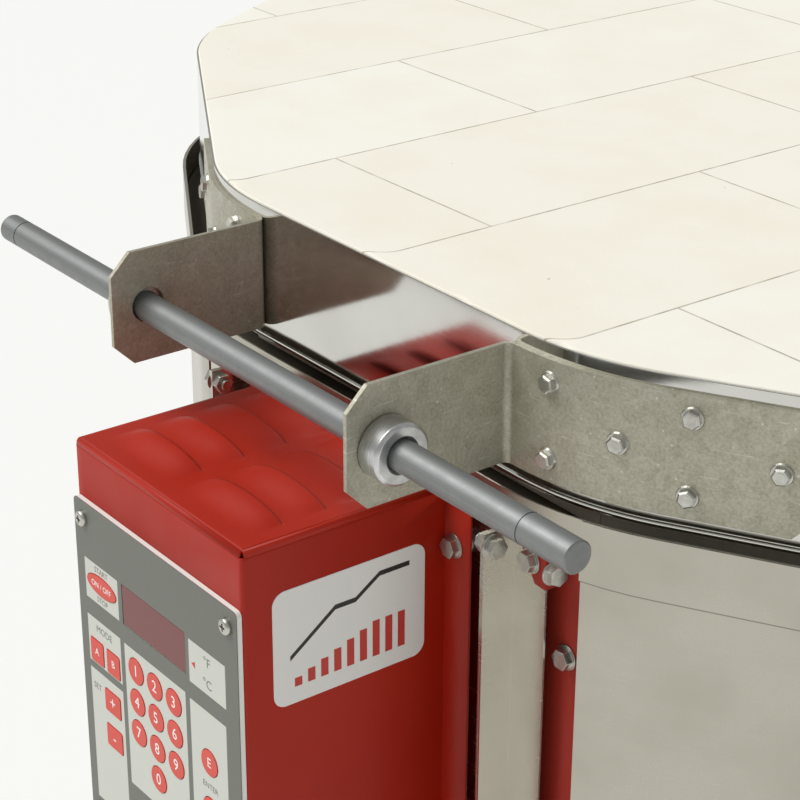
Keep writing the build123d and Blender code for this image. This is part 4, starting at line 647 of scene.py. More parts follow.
def plate_mesh(name: str, corners: Sequence[Sequence[Vector]], thickness: Vector) -> bpy.types.Object:
    """Makes flat plates from outlines.

    Args:
        name: the piece's name.
        corners: one list of corners, in mm, for each plate.
        thickness: vector from a plate's back to its face, in mm.

    Returns:
        One object with all the plates.
    """
    shape = bmesh.new()
    for loop in corners:
        back = [shape.verts.new(p * MM) for p in loop]
        front = [shape.verts.new((p + thickness) * MM) for p in loop]
        shape.faces.new(back)
        shape.faces.new(front)
        skin(shape, back, front)
    return shaped(name, shape, angle=None)


def start_tree(name: str, **sizes: str) -> bpy.types.NodeTree:
    """Starts a Geometry Nodes tree with its sockets and its Group Input node.

    Args:
        name: the tree's name.
        **sizes: name and socket type of each input besides the geometry; an underscore stands
            for a space.

    Returns:
        The tree.
    """
    tree = bpy.data.node_groups.new(name, "GeometryNodeTree")
    for side in ("INPUT", "OUTPUT"):
        tree.interface.new_socket("Geometry", in_out=side, socket_type="NodeSocketGeometry")
    for size, kind in sizes.items():
        tree.interface.new_socket(size.replace("_", " "), in_out="INPUT", socket_type="NodeSocket" + kind)
    tree.nodes.new("NodeGroupInput")
    return tree


def grow(name: str, base: bpy.types.Mesh, tree: bpy.types.NodeTree,
         values: dict[str, Any]) -> bpy.types.Object:
    """Runs a Geometry Nodes tree on a mesh and keeps the result as a plain mesh.

    Args:
        name: the piece's name.
        base: the mesh that the tree starts from.
        tree: the tree.
        values: value of each named input.

    Returns:
        The finished object, with no modifier.
    """
    piece = link(name, base)
    maker = piece.modifiers.new("grow", "NODES")
    maker.node_group = tree
    for socket in tree.interface.items_tree:
        if socket.in_out == "INPUT" and socket.name in values:
            maker[socket.identifier] = values[socket.name]
    shown = piece.evaluated_get(bpy.context.evaluated_depsgraph_get())
    result = bpy.data.meshes.new_from_object(shown)
    piece.modifiers.remove(maker)
    piece.data = result
    return piece


def end_tree(tree: bpy.types.NodeTree, geometry: Any, material: Any) -> None:
    """Ends a Geometry Nodes tree: makes instances real and gives them their material.

    Args:
        tree: the tree.
        geometry: socket of the finished geometry.
        material: socket of the material.
    """
    real = node(tree, "GeometryNodeRealizeInstances", {0: geometry})
    dressed = node(tree, "GeometryNodeSetMaterial", {"Geometry": real, "Material": material})
    node(tree, "NodeGroupOutput", {0: dressed})


def hex_head_tree() -> bpy.types.NodeTree:
    """Builds the tree that puts a hex washer head on each point, turned by its 'turn' attribute.

    Returns:
        The tree.
    """
    tree = start_tree("hex_washer_heads", Washer_Radius="Float", Washer_Thickness="Float",
                      Hex_Radius="Float", Hex_Height="Float", Seed="Int", Material="Material")
    add = partial(node, tree)
    take = tree.nodes["Group Input"].outputs
    washer, hexagon = take["Washer Radius"], take["Hex Radius"]
    slim, low, crown_top, crown_height, dish = (
        add("ShaderNodeMath", {0: size, 1: share}, operation="MULTIPLY")
        for size, share in ((washer, 0.9), (take["Hex Height"], 0.84), (hexagon, 0.8),
                            (take["Hex Height"], 0.16), (hexagon, 0.55)))
    join = tree.nodes.new("GeometryNodeJoinGeometry")
    # Washer, prism, chamfered crown and the dish on top
    for corners, top, bottom, depth, lift in ((24, slim, washer, take["Washer Thickness"], 0.0),
                                              (6, hexagon, hexagon, low, 0.0),
                                              (6, crown_top, hexagon, crown_height, low),
                                              (16, dish, dish, 0.12 * MM, take["Hex Height"])):
        cone = add("GeometryNodeMeshCone", {"Vertices": corners, "Radius Top": top,
                                            "Radius Bottom": bottom, "Depth": depth})
        up = add("ShaderNodeCombineXYZ", {2: lift})
        raised = add("GeometryNodeTransform", {"Geometry": cone, "Translation": up})
        tree.links.new(raised, join.inputs[0])
    turn = add("GeometryNodeInputNamedAttribute", {"Name": "turn"}, data_type="FLOAT_VECTOR")
    heads = add("GeometryNodeInstanceOnPoints",
                {"Points": take["Geometry"], "Instance": join.outputs[0], "Rotation": turn})
    chance = add("FunctionNodeRandomValue", {"Min": 0.0, "Max": 1.05, "Seed": take["Seed"]}, 1,
                 data_type="FLOAT")
    twist = add("ShaderNodeCombineXYZ", {2: chance})
    twisted = add("GeometryNodeRotateInstances", {"Instances": heads, "Rotation": twist})
    end_tree(tree, twisted, take["Material"])
    return tree


def coil_tree() -> bpy.types.NodeTree:
    """Builds the tree that winds a wire round a path: the kiln's element coils.

    Returns:
        The tree.
    """
    tree = start_tree("wound_element", Coil_Radius="Float", Pitch="Float", Steps="Float",
                      Wire_Radius="Float", Material="Material")
    add = partial(node, tree)
    take = tree.nodes["Group Input"].outputs
    curve = add("GeometryNodeMeshToCurve", {0: take["Geometry"]})
    step = add("ShaderNodeMath", {0: take["Pitch"], 1: take["Steps"]}, operation="DIVIDE")
    sampled = add("GeometryNodeResampleCurve", {"Curve": curve, "Length": step}, mode="LENGTH")
    upright = add("GeometryNodeSetCurveNormal", {0: sampled}, mode="Z_UP")
    far = add("GeometryNodeSplineParameter", out=1)
    turns = add("ShaderNodeMath", {0: far, 1: take["Pitch"]}, operation="DIVIDE")
    angle = add("ShaderNodeMath", {0: turns, 1: 2 * math.pi}, operation="MULTIPLY")
    side = add("GeometryNodeInputNormal")
    ahead = add("GeometryNodeInputTangent")
    over = add("ShaderNodeVectorMath", {0: ahead, 1: side}, operation="CROSS_PRODUCT")
    cosine = add("ShaderNodeMath", {0: angle}, operation="COSINE")
    sine = add("ShaderNodeMath", {0: angle}, operation="SINE")
    first = add("ShaderNodeVectorMath", {0: side, "Scale": cosine}, operation="SCALE")
    second = add("ShaderNodeVectorMath", {0: over, "Scale": sine}, operation="SCALE")
    both = add("ShaderNodeVectorMath", {0: first, 1: second}, operation="ADD")
    offset = add("ShaderNodeVectorMath", {0: both, "Scale": take["Coil Radius"]}, operation="SCALE")
    wound = add("GeometryNodeSetPosition", {"Geometry": upright, "Offset": offset})
    section = add("GeometryNodeCurvePrimitiveCircle", {"Resolution": 4, "Radius": take["Wire Radius"]})
    wire_mesh = add("GeometryNodeCurveToMesh", {"Curve": wound, "Profile Curve": section,
                                                "Fill Caps": True})
    end_tree(tree, wire_mesh, take["Material"])
    return tree


@dataclass
class SubAssembly:
    """Pieces that ride on one body of the frame."""

    frame: dict
    body: str = "kiln_body"

    def fit(self, piece: bpy.types.Object, finish: Finish, slot: str, *nodes: str) -> None:
        """Gives a piece its finish and ties it to the frame.

        Args:
            piece: the finished object.
            finish: its finish.
            slot: the record's material slot; not used.
            *nodes: CAD nodes that it stands for.
        """
        piece.data.materials.clear()
        piece.data.materials.append(finish.material())
        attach(piece, self.body)
        if nodes:
            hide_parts(*nodes)
        LOG.info("%s: %d faces, %s", piece.name, len(piece.data.polygons), finish.name)

    def keep(self, finish: Finish, *nodes: str) -> None:
        """Gives CAD nodes whose shape is right a better material.

        Args:
            finish: the finish.
            *nodes: names of the nodes.
        """
        for name in nodes:
            mesh = self.frame["nodes"][name].data
            mesh.materials.clear()
            mesh.materials.append(finish.material())
            LOG.info("%s: kept, %s", name, finish.name)

    def rounded(self, name: str, bevel: float = 0.0, angle: float = 32.0) -> bpy.types.Object:
        """Copies a CAD node with joined corners, smooth curves and rounded edges.

        Args:
            name: the node's name.
            bevel: width of the rounding in mm.
            angle: edges sharper than this many degrees stay sharp.

        Returns:
            The copy, named after the node.
        """
        shape = bmesh.new()
        shape.from_mesh(self.frame["nodes"][name].data)
        bmesh.ops.remove_doubles(shape, verts=shape.verts, dist=WELD)
        bmesh.ops.dissolve_limit(shape, angle_limit=math.radians(0.4), verts=shape.verts, edges=shape.edges,
                                 use_dissolve_boundaries=False)
        return weighted(shaped(name + "_made", shape, angle, outward=False), bevel)

    def dress(self, finish: Finish, slot: str, bevel: float, *nodes: str) -> None:
        """Puts a rounded and dressed copy in place of each CAD node.

        Args:
            finish: the finish.
            slot: the record's material slot.
            bevel: width of the rounding in mm.
            *nodes: names of the nodes.
        """
        for name in nodes:
            self.fit(self.rounded(name, bevel), finish, slot, name)

    def heads(self, name: str, places: Sequence[tuple[Vector, Vector]], finish: Finish, slot: str,
              *nodes: str, size: tuple[float, float, float, float], seed: int) -> None:
        """Sets hex washer heads with Geometry Nodes.

        Args:
            name: the piece's name.
            places: middle of each seat, in mm, and the direction that its head faces.
            finish: the finish.
            slot: the record's material slot.
            *nodes: CAD nodes that they stand for.
            size: washer radius and thickness, hex radius and height, in mm.
            seed: seed of the heads' turns.
        """
        base = bpy.data.meshes.new(name)
        base.from_pydata([spot * MM for spot, _ in places], [], [])
        turns = base.attributes.new("turn", "FLOAT_VECTOR", "POINT")
        for item, (_, facing) in zip(turns.data, places):
            item.vector = facing.to_track_quat("Z", "Y").to_euler()
        values = dict(zip(("Washer Radius", "Washer Thickness", "Hex Radius", "Hex Height"),
                          (part * MM for part in size)))
        piece = grow(name, base, hex_head_tree(), {**values, "Seed": seed, "Material": finish.material()})
        self.fit(piece, finish, slot, *nodes)

    def words(self, name: str, text: str, size: float, middle: Vector, finish: Finish,
              slot: str) -> None:
        """Writes plain lettering, as a mesh, on an upright face that looks to the front.

        Args:
            name: the piece's name.
            text: the lettering.
            size: height of a capital in mm.
            middle: middle of the lettering, in mm.
            finish: the ink.
            slot: the record's material slot.
        """
        curve = bpy.data.curves.new(name, "FONT")
        curve.body = text
        curve.size = size * EM_PER_CAPITAL * MM
        curve.align_x = "CENTER"
        curve.align_y = "CENTER"
        curve.extrude = INK_DEPTH * MM
        curve.resolution_u = 3
        letters = link(name, curve)
        shown = letters.evaluated_get(bpy.context.evaluated_depsgraph_get())
        mesh = bpy.data.meshes.new_from_object(shown)
        bpy.data.objects.remove(letters)
        mesh.transform(Matrix.Translation(middle * MM) @ Matrix.Rotation(math.pi / 2, 4, "X"))
        self.fit(link(name, mesh), finish, slot)


def corner_place(side: int, run: float, height: float) -> tuple[Vector, Vector]:
    """Place of a strap screw on the rounded corner beside the front.

    Args:
        side: 1 on the right, -1 on the left.
        run: distance along the strap from the middle of the corner.
        height: height above the floor.

    Returns:
        The middle of the screw's seat and the direction that its head faces.
    """
    radius = LID_CORNER_RADIUS + STRAP_OUT - LID_APOTHEM
    past = max(abs(run) - radius * HALF_TURN, 0) * (1 if run > 0 else -1)
    turn = side * (HALF_TURN + (run - past) / radius)
    centre = (STRAP_OUT - radius) / math.cos(HALF_TURN)
    x = centre * math.sin(side * HALF_TURN) + radius * math.sin(turn) + side * past * math.cos(turn)
    y = -centre * math.cos(HALF_TURN) - radius * math.cos(turn) + side * past * math.sin(turn)
    return Vector((x, y + AXIS_Y, height)), Vector((math.sin(turn), -math.cos(turn), 0))


@dataclass
class Lid(SubAssembly):
    """Brick slab in its bright band, with the galvanised straps for handle and hinge."""

    body: str = "lid"
    # Screws of one strap: place along it from the middle of the corner, and height over its middle
    screw_runs: tuple[tuple[float, float], ...] = ((-16.0, 16.0), (-16.0, -16.0), (15.4, 0.0),
                                                   (43.7, 16.0), (43.7, -16.0), (78.0, 0.0))
    # Washer radius and thickness, hex radius and height of the strap screws
    screw_size: tuple[float, float, float, float] = (4.7, 0.9, 3.8, 3.4)
    # Small losses along the slab's front edge: place along X, half width and depth
    chips: tuple[tuple[float, float, float], ...] = ((-118.0, 3.0, 2.2), (-5.0, 3.4, 2.6), (52.0, 2.6, 2.4),
                                                     (109.0, 4.0, 2.8), (224.0, 3.2, 2.2), (170.0, 2.0, 1.4))
    # The band's rolled lower hem: how far it stands out from the band, and height above its edge
    hem: tuple[tuple[float, float], ...] = ((0.7, 0.0), (1.15, 0.5), (1.2, 1.4), (0.9, 2.2), (0.1, 2.5),
                                            (0.0, 3.2))

    def slab(self) -> None:
        """Builds the slab: a broad flat top whose rim is crumbled a little and chipped at the joints."""
        shape = bmesh.new()
        source = random.Random(4)
        spots = outline(LID_APOTHEM, straight=24, arc=26)
        count = len(spots)
        wear = [source.uniform(0.5, 0.95) for _ in spots]
        wear = [(wear[i - 1] + wear[i] + wear[(i + 1) % count]) / 3 for i in range(count)]
        for i, spot in enumerate(spots):
            # Only the front is chipped
            if spot.y < -LID_APOTHEM * 0.8:
                wear[i] += sum(depth * math.exp(-((spot.x - x) / half) ** 2) for x, half, depth in self.chips)
        rings = []
        thick = LID_TOP - LID_BOTTOM
        # Each ring's drop below the top, its inset, and whether it is part of the worn rim
        for drop, inset, rim in ((thick, 0.6, False), (thick - 0.6, 0.0, False), (1.0, 0.0, True),
                                 (0.35, 0.45, True), (0.0, 1.0, True), (0.0, 9.0, False)):
            ring = []
            for spot, worn in zip(spots, wear):
                share = worn if rim else 1.0
                flat = spot * (1 - inset * share / spot.length)
                ring.append(shape.verts.new((flat.x * MM, (flat.y + AXIS_Y) * MM,
                                             (LID_TOP - drop * share) * MM)))
            rings.append(ring)
        for one, two in zip(rings, rings[1:]):
            skin(shape, one, two)
        shape.faces.new(rings[0])
        shape.faces.new(rings[-1])
        self.fit(weighted(shaped("lid_slab", shape, angle=55)), LID_BRICK, "firebrick", "lid_bricks")

    def band(self) -> None:
        """Bends the bright band round the slab, with a round hem along its lower edge."""
        profile = [(LID_APOTHEM, LID_BOTTOM + 0.1)]
        profile += [(BAND_OUT + proud, LID_BOTTOM + up) for proud, up in self.hem]
        profile += [(BAND_OUT, LID_TOP - 1.15), (BAND_OUT - 0.25, LID_TOP - 1.0),
                    (LID_APOTHEM + 0.1, LID_TOP - 1.0), (LID_APOTHEM, LID_TOP - 1.2)]
        self.fit(ring_sheet("lid_band_sheet", profile), BRIGHT_STAINLESS, "bright_stainless", "lid_band")

    def straps(self) -> None:
        """Dresses the four straps and sets their screws."""
        self.dress(GALVANISED, "galvanised", 0.35, "handle_strap_left", "handle_strap_right",
                   "hinge_strap_left", "hinge_strap_right")
        places = []
        for side in (-1, 1):
            for run, up in self.screw_runs:
                spot, facing = corner_place(side, run, STRAP_MIDDLE + up)
                places.append((spot, facing))
                behind = Vector((spot.x, 2 * AXIS_Y - spot.y, spot.z))
                places.append((behind, Vector((facing.x, -facing.y, 0))))
        self.heads("strap_screw_heads", places, ZINC, "zinc_fasteners", "strap_screws",
                   size=self.screw_size, seed=7)

    def build(self) -> None:
        """Builds the whole lid."""
        self.slab()
        self.band()
        self.straps()


@dataclass
class HandleBar(SubAssembly):
    """Handle rod with its two collars."""

    body: str = "handle"

    def build(self) -> None:
        """Dresses the rod and the collars."""
        self.dress(ROD_STEEL, "steel_rod", 0.0, "handle_rod")
        self.dress(COLLAR_STEEL, "zinc_fasteners", 0.25, "handle_collars")


@dataclass
class Body(SubAssembly):
    """Walls, floor, jacket and what is fixed to the jacket's front and back."""

    # Elements: height of the lowest groove, distance between grooves, their number, reach of a
    # coil from the chamber's axis, where its ends lie and how far it sags in its groove
    element_lowest: float = 363.35
    element_pitch: float = 114.3
    elements: int = 6
    element_reach: float = 378.2
    element_end: float = 20.0
    element_sag: float = 1.3

    def masonry(self) -> None:
        """Dresses bricks and insulation, and winds the elements."""
        self.keep(WALL_BRICK, "wall_bricks_bottom", "wall_bricks_middle", "wall_bricks_top", "floor_bricks")
        # Painted shade: the backing insulation's dark colour stands for the shade in the gap under the lid
        self.keep(FIBRE_DARKENED_AS_SHADE, "backing_insulation")
        base = bpy.data.meshes.new("element_coils")
        points, edges = [], []
        corner = self.element_reach / math.cos(HALF_TURN)
        for row in range(self.elements):
            height = self.element_lowest + row * self.element_pitch - self.element_sag
            ring = [(self.element_end, -self.element_reach)]
            ring += [(corner * math.sin(HALF_TURN * (2 * i + 1)), -corner * math.cos(HALF_TURN * (2 * i + 1)))
                     for i in range(SIDES)]
            ring.append((-self.element_end, -self.element_reach))
            first = len(points)
            points += [(x * MM, (y + AXIS_Y) * MM, height * MM) for x, y in ring]
            edges += [(first + i, first + i + 1) for i in range(len(ring) - 1)]
        base.from_pydata(points, edges, [])
        coils = grow("element_coils", base, coil_tree(), {
            "Coil Radius": 4.9 * MM, "Pitch": 9 * MM, "Steps": 8.0, "Wire Radius": 1.0 * MM,
            "Material": ELEMENT_WIRE.material()})
        self.fit(coils, ELEMENT_WIRE, "element_wire", "heating_elements")
        self.keep(ELEMENT_WIRE, "element_pins")
        self.keep(CERAMIC, "pin_insulators", "thermocouple")

    def sheets(self) -> None:
        """Dresses the jacket, the floor's band and the front's sheet pieces."""
        profile = [(LID_APOTHEM, FLOOR_BOTTOM), (BAND_OUT, FLOOR_BOTTOM), (BAND_OUT, WALL_BOTTOM - 1.2),
                   (BAND_OUT - 0.2, WALL_BOTTOM - 1.0), (LID_APOTHEM, WALL_BOTTOM - 1.0)]
        self.fit(ring_sheet("floor_band_sheet", profile), BRIGHT_STAINLESS, "bright_stainless", "floor_band")
        self.dress(JACKET_STAINLESS, "stainless", 0.0, "body_jacket")
        self.dress(DARK_RED_PAINT, "dark_red_paint", 0.2, "mounting_plate")
        self.dress(TRIM_STAINLESS, "stainless", 0.2, "front_channel", "side_strips")
        self.dress(DARK_RED_PAINT, "dark_red_paint", 0.3, "closure_bracket")

    def fasteners(self) -> None:
        """Dresses the body's bolts, screws and spacers."""
        self.dress(ZINC, "zinc_fasteners", 0.15, "closure_bolts", "body_screws")
        self.dress(ZINC, "zinc_fasteners", 0.0, "case_spacers")

    def hinge(self) -> None:
        """Dresses the hinge at the back."""
        self.dress(GALVANISED, "galvanised", 0.35, "hinge_bracket")
        self.dress(ROD_STEEL, "steel_rod", 0.0, "hinge_rod")
        self.dress(COLLAR_STEEL, "zinc_fasteners", 0.25, "hinge_collars")

    def stand(self) -> None:
        """Dresses the stand and its feet."""
        self.dress(STAND_STEEL, "galvanised", 0.5, "stand_frame")
        self.dress(FOOT_RUBBER, "black_plastic", 0.6, "feet")

    def build(self) -> None:
        """Builds the body from the inside out."""
        self.masonry()
        self.sheets()
        self.fasteners()
        self.hinge()
        self.stand()


@dataclass
class Plug(SubAssembly):
    """Ceramic peephole plug."""

    node_name: str = "peephole_plug_lower"

    def build(self) -> None:
        """Dresses the plug."""
        self.dress(CERAMIC, "ceramic_parts", 0.4, self.node_name)


@dataclass
class ControlCase(SubAssembly):
    """Red sheet case: a wrap of front, sides and flanges, a louvred top and a vented bottom."""

    # How far the top's folded edges reach down, the outer radius of a bend, the sheet's thickness,
    # how far a flange stands out, and how far it ends from the case's top and bottom
    cut: float = 3.0
    bend: float = 1.6
    sheet: float = 1.2
    flange: float = 16.0
    flange_gap: float = 4.0
    # The opening behind the keypad plate: its top and bottom below the plate's top, and the
    # strip of the front that is left beside it
    opening: tuple[float, float] = (18.5, 146.5)
    border: float = 5.5
    # The side label: its top left corner, behind the case's front and under its top, the height
    # of its printed face over the sheet, and the sizes of its print
    label_corner: tuple[float, float] = (13.5, 23.0)
    film: float = 0.3
    bar_pitch: float = 6.4
    bar_width: float = 3.6
    line_width: float = 2.2
    # The top's grid: steps across, and the length of a step from front to back
    columns: int = 104
    grid_step: float = 1.3
    # Louvres: size of one, distances between columns and rows, and place of the first lip
    louvre_length: float = 50.0
    louvre_rise: float = 4.4
    louvre_depth: float = 17.0
    column_pitch: float = 58.0
    row_pitch: float = 21.0
    first_row: float = 26.0
    rows: int = 4

    def rise(self, x: float, y: float, lip: float) -> float:
        """Height of the pressed top at a place in front of one row's lip.

        Args:
            x: place across, in mm from the case's middle.
            y: place in mm.
            lip: y of the row's lip, or infinity behind the last row.

        Returns:
            Height above the flat top, in mm.
        """
        back = (lip - y) / self.louvre_depth
        if not 0 <= back <= 1:
            return 0.0
        across = abs(abs(x) - self.column_pitch / 2) / (self.louvre_length / 2)
        if across >= 1:
            return 0.0
        return self.louvre_rise * (1 - across ** 2.6) * math.cos(back * math.pi / 2) ** 2

    def wall(self, name: str, shape: bmesh.types.BMesh, out: Vector, angle: float, *nodes: str) -> None:
        """Gives an open sheet its thickness inwards, and dresses it.

        Args:
            name: the piece's name.
            shape: the sheet's outer face; it is freed.
            out: direction that most of the sheet faces.
            angle: edges sharper than this many degrees stay sharp.
            *nodes: CAD nodes that it stands for.
        """
        bmesh.ops.recalc_face_normals(shape, faces=shape.faces)
        if sum(face.normal.dot(out) * face.calc_area() for face in shape.faces) < 0:
            bmesh.ops.reverse_faces(shape, faces=shape.faces)
        piece = shaped(name, shape, angle, outward=False)
        thick = piece.modifiers.new("sheet", "SOLIDIFY")
        thick.thickness = self.sheet * MM
        thick.offset = -1.0
        self.fit(piece, RED_PAINT, "red_paint", *nodes)

    def top(self) -> None:
        """Presses the louvred top: a fine grid, open under each lip, with its edges folded down."""
        shape = bmesh.new()
        half = CASE_WIDTH / 2 - self.bend
        front = AXIS_Y - CASE_FRONT
        back = AXIS_Y - CASE_BACK
        across = [half * (2 * i / self.columns - 1) for i in range(self.columns + 1)]
        lips = [front + self.first_row + row * self.row_pitch for row in range(self.rows)]
        start = front + self.bend
        for lip, end in [(lip, lip) for lip in lips] + [(math.inf, back)]:
            steps = max(2, round((end - start) / self.grid_step))
            rows = []
            for i in range(steps + 1):
                y = start + (end - start) * i / steps
                rows.append([shape.verts.new(((CASE_SHIFT + x) * MM, y * MM,
                                              (CASE_TOP + self.rise(x, y, lip)) * MM)) for x in across])
            for one, two in zip(rows, rows[1:]):
                skin(shape, one, two, closed=False)
            start = end
        fold = [(self.bend * math.sin(a), self.bend * (math.cos(a) - 1)) for a in BEND_ARC]
        fold.append((self.bend, -self.cut))
        front += self.bend
        runs = [[[Vector((CASE_SHIFT + side * (half + out), y, CASE_TOP + down)) for out, down in fold]
                 for y in (front, back)] for side in (-1, 1)]
        runs.append([[Vector((CASE_SHIFT + x, front - out, CASE_TOP + down)) for out, down in fold]
                     for x in (-half, half)])
        for one, two in runs:
            skin(shape, [shape.verts.new(p * MM) for p in one], [shape.verts.new(p * MM) for p in two],
                 closed=False)
        bmesh.ops.remove_doubles(shape, verts=shape.verts, dist=2 * WELD)
        self.wall("case_louvred_top", shape, Vector((0, 0, 1)), 70)

    def bends(self) -> list[tuple[float, float]]:
        """Traces the outer face of the folded sheet in plan, from the left flange's tip to the right one's.

        Returns:
            Place of each fold point across and along, in mm; across is counted from the case's middle.
        """
        half = CASE_WIDTH / 2
        front = AXIS_Y - CASE_FRONT
        seat = AXIS_Y - CASE_BACK - self.sheet
        corner = [(half - self.bend * (1 - math.sin(a)), front + self.bend * (1 - math.cos(a)))
                  for a in BEND_ARC]
        right = [(half - self.border, front)] + corner + [(half, seat), (half + self.flange, seat)]
        return [(-x, y) for x, y in reversed(right)] + right

    def shell(self) -> None:
        """Folds front, sides and flanges from one sheet, with the opening behind the keypad plate."""
        shape = bmesh.new()
        path = self.bends()
        behind_top, behind_bottom = (FACE_TOP - below for below in self.opening)
        flange_top = CASE_TOP - self.flange_gap
        levels = [CASE_BOTTOM + self.sheet, CASE_BOTTOM + self.flange_gap, behind_bottom, behind_top,
                  flange_top, CASE_TOP - self.cut]
        grid = [[shape.verts.new(((CASE_SHIFT + x) * MM, y * MM, z * MM)) for x, y in path] for z in levels]
        last = len(path) - 2
        for row, (low, high) in enumerate(zip(levels, levels[1:])):
            for i in range(last + 1):
                in_opening = i == last // 2 and low == behind_bottom
                past_flange = i in (0, last) and (row == 0 or high > flange_top)
                if not in_opening and not past_flange:
                    shape.faces.new((grid[row][i], grid[row][i + 1], grid[row + 1][i + 1], grid[row + 1][i]))
        bmesh.ops.delete(shape, geom=[v for v in shape.verts if not v.link_faces], context="VERTS")
        self.wall("case_wrap", shape, Vector((0, -1, 0)), 40, "control_case")

    def bottom(self) -> None:
        """Takes the vented bottom sheet from the frame."""
        shape = bmesh.new()
        shape.from_mesh(self.frame["nodes"]["control_case"].data)
        # What stands on the bottom sheet goes, with its lower ends, which meet the sheet at the seam
        seam = (CASE_BOTTOM + self.sheet + 0.01) * MM
        above = [f for f in shape.faces if max(v.co.z for v in f.verts) > seam]
        above += [f for f in shape.faces if f.normal.z < -0.5 and min(v.co.z for v in f.verts) > seam - 20e-6]
        bmesh.ops.delete(shape, geom=list(set(above)), context="FACES")
        bmesh.ops.remove_doubles(shape, verts=shape.verts, dist=WELD)
        self.fit(weighted(shaped("case_bottom", shape, outward=False)), RED_PAINT, "red_paint")

    def label(self) -> None:
        """Sticks on the side label: bare film with a plain row of bars under a stepped line."""
        self.dress(LABEL_FILM, "label_film", 0.1, "side_label")
        corner = Vector((CASE_SHIFT + CASE_WIDTH / 2 + self.film, AXIS_Y - CASE_FRONT + self.label_corner[0],
                         CASE_TOP - self.label_corner[1]))
        # Outlines as mm right of and above the label's top left corner
        bars = []
        for i in range(9):
            left, high = 10 + i * self.bar_pitch, 4.0 + 2.1 * min(i, 6)
            right = left + self.bar_width
            bars.append([(left, -45), (right, -45), (right, high - 45), (left, high - 45)])
        steps = [(8, -32.5), (30, -16.5), (40, -16.5), (52, -8.5), (67, -8.5)]
        line = [[(y1, z1), (y2, z2), (y2, z2 + self.line_width), (y1, z1 + self.line_width)]
                for (y1, z1), (y2, z2) in zip(steps, steps[1:])]
        for name, shapes, ink in (("label_bars", bars, RED_INK), ("label_line", line, BLACK_INK)):
            loops = [[corner + Vector((0, y, z)) for y, z in shape] for shape in shapes]
            self.fit(plate_mesh(name, loops, Vector((0.04, 0, 0))), ink, "label_film")

    def inside(self) -> None:
        """Dresses the board, relays, terminal block and power inlet that the case holds."""
        self.keep(BOARD, "controller_board")
        for name, bevel in (("relays", 0.6), ("terminal_block", 0.8), ("power_inlet", 0.5)):
            self.dress(BLACK_PLASTIC, "black_plastic", bevel, name)

    def build(self) -> None:
        """Builds the case."""
        self.shell()
        self.bottom()
        self.top()
        self.label()
        self.inside()


@dataclass
class Keypad(SubAssembly):
    """Keypad plate with its print, screws, display window and keys."""

    # Numbers: their height, and the places of columns and rows from the plate's top left corner
    digit_size: float = 5.6
    columns: tuple[float, ...] = (46.1, 61.1, 76.1)
    first_row: float = 65.3
    row_pitch: float = 15.4
    # How far the ink's middle stands out from the plate, on its face and on the keys
    face_ink: float = 0.02
    key_ink: float = 0.32

    def spot(self, right: float, down: float, proud: float) -> Vector:
        """Turns a place on the plate to a place in the frame.

        Args:
            right: mm right of the plate's left edge.
            down: mm below its top edge.
            proud: mm in front of its face.

        Returns:
            The place in mm.
        """
        return Vector((CASE_SHIFT - FACE_WIDTH / 2 + right, AXIS_Y - FACE_REACH - proud, FACE_TOP - down))

    def plate(self) -> None:
        """Dresses the plate, its screws and the window, and prints its words."""
        self.dress(FACE_LAMINATE, "plate_coating", 0.3, "face_plate")
        self.fit(self.rounded("face_screws", bevel=0.12, angle=25), ZINC, "face_screw_steel", "face_screws")
        self.dress(DISPLAY_TINT, "display_tint", 0.2, "display_window")
        # Each word's height, and its place right of and below the plate's top left corner
        for name, text, size, right, down in (
                ("word_start", "START", 2.7, 20.2, 29.6), ("word_stop", "STOP", 2.7, 20.2, 43.9),
                ("word_mode", "MODE", 3.4, 20.0, 59.6), ("word_fahrenheit", "°F", 4.4, 103.1, 33.2),
                ("word_celsius", "°C", 4.4, 103.1, 43.2), ("word_enter", "ENTER", 2.8, 102.6, 92.6),
                ("word_clear", "CLEAR", 2.8, 102.6, 115.6), ("word_set", "SET", 3.0, 11.5, 90.0)):
            self.words(name, text, size, self.spot(right, down, self.face_ink), GREY_INK, "plate_coating")
        mark = [self.spot(91.4, 38.6, 0.0), self.spot(94.2, 37.0, 0.0), self.spot(94.2, 40.2, 0.0)]
        self.fit(plate_mesh("print_pointer", [mark], Vector((0, -0.03, 0))), RED_INK, "plate_coating")

    def key(self, name: str, text: str, size: float, right: float, down: float) -> None:
        """Dresses one key and prints its mark.

        Args:
            name: the key's node, which is its body's name too.
            text: its mark.
            size: height of the mark, in mm.
            right: mm right of the plate's left edge.
            down: mm below its top edge.
        """
        self.body = name
        self.dress(KEY_RED, "key_red", 0.12, name)
        self.words(name + "_mark", text, size, self.spot(right, down, self.key_ink), WHITE_INK, "key_red")

    def keys(self) -> None:
        """Dresses all the keys."""
        for digit in range(10):
            column = 1 if digit == 0 else (digit - 1) % 3
            row = 3 if digit == 0 else (digit - 1) // 3
            self.key(f"key_{digit}", str(digit), self.digit_size, self.columns[column],
                     self.first_row + row * self.row_pitch)
        for name, text, size, right, down in (
                ("key_start_stop", "ON / OFF", 2.8, 20.2, 36.6), ("key_mode_left", "A", 3.6, 13.2, 71.6),
                ("key_mode_right", "B", 3.6, 26.8, 71.6), ("key_option_upper", "+", 6.0, 24.5, 92.5),
                ("key_option_lower", "-", 6.0, 24.5, 110.5), ("key_entry_upper", "E", 4.6, 102.6, 80.7),
                ("key_entry_lower", "C", 4.6, 102.6, 104.0)):
            self.key(name, text, size, right, down)

    def build(self) -> None:
        """Builds the keypad."""
        self.plate()
        self.keys()


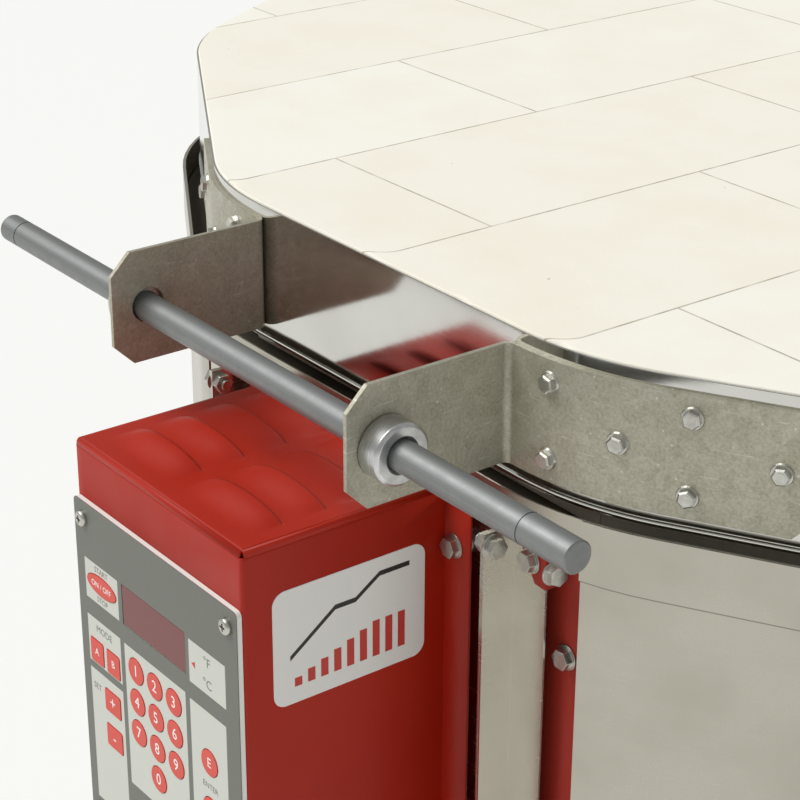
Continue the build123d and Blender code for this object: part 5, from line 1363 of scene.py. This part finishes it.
@dataclass
class Studio:
    """Camera, floor and soft light."""

    # Where the photograph was taken from, in metres, and which way, in degrees
    camera_place: tuple[float, float, float] = (0.6679, -0.9579, 1.3754)
    pitch: float = 24.652
    azimuth: float = 52.712
    roll: float = 0.294
    lens: float = 97.84
    # Direction of the soft light, its strength and its spread in degrees
    key_from: tuple[float, float, float] = (-0.32, -0.36, 0.66)
    key_strength: float = 2.4
    key_spread: float = 38.0
    surround: float = 0.45
    # Strength of the surround where the camera looks straight at it, past the floor
    backdrop: float = 1.0

    def camera(self) -> None:
        """Stands the camera where the photograph was taken from."""
        pitch, azimuth, roll = (math.radians(a) for a in (self.pitch, self.azimuth, self.roll))
        ahead = Vector((-math.sin(azimuth) * math.cos(pitch), math.cos(azimuth) * math.cos(pitch),
                        -math.sin(pitch)))
        level = Vector((math.cos(azimuth), math.sin(azimuth), 0))
        above = level.cross(ahead)
        right = math.cos(roll) * level + math.sin(roll) * above
        up = -math.sin(roll) * level + math.cos(roll) * above
        data = bpy.data.cameras.new("camera")
        data.lens = self.lens
        data.sensor_width = 36.0
        data.clip_end = 50.0
        eye = link("camera", data)
        turn = Matrix((right, up, -ahead)).transposed().to_4x4()
        eye.matrix_world = Matrix.Translation(Vector(self.camera_place)) @ turn
        bpy.context.scene.camera = eye

    def floor(self) -> None:
        """Lays the pale floor."""
        shape = bmesh.new()
        bmesh.ops.create_grid(shape, x_segments=4, y_segments=4, size=60.0)
        piece = shaped("studio_floor", shape, angle=None)
        finish = Moulded("pale_floor", PALE, 0.8, grain=3.0, depth=0.01)
        piece.data.materials.append(finish.material())

    def lights(self) -> None:
        """Sets one broad soft light, from above and the front left, in a pale surround."""
        data = bpy.data.lights.new("soft_key", "SUN")
        data.energy = self.key_strength
        data.angle = math.radians(self.key_spread)
        lamp = link("soft_key", data)
        lamp.rotation_euler = Vector(self.key_from).to_track_quat("Z", "Y").to_euler()
        world = bpy.data.worlds.new("pale_surround")
        world.use_nodes = True
        background = world.node_tree.nodes["Background"]
        seen = node(world.node_tree, "ShaderNodeLightPath")
        strength = node(world.node_tree, "ShaderNodeMapRange", {0: seen, 3: self.surround, 4: self.backdrop})
        wire(world.node_tree, background, {0: PALE, 1: strength})
        bpy.context.scene.world = world
        bpy.context.scene.view_settings.view_transform = "Standard"

    def build(self) -> None:
        """Sets up the studio."""
        self.camera()
        self.floor()
        self.lights()


def main() -> None:
    """Builds the studio and every sub-assembly."""
    logging.basicConfig(level=logging.INFO, format="%(name)s: %(message)s")
    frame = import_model()
    Studio().build()
    for part in (Lid(frame), HandleBar(frame), Body(frame), Plug(frame, "plug_lower", "peephole_plug_lower"),
                 Plug(frame, "plug_upper", "peephole_plug_upper"), ControlCase(frame), Keypad(frame)):
        part.build()
        LOG.info("%s built", type(part).__name__)
    bpy.context.view_layer.update()


if __name__ == "__main__":
    main()
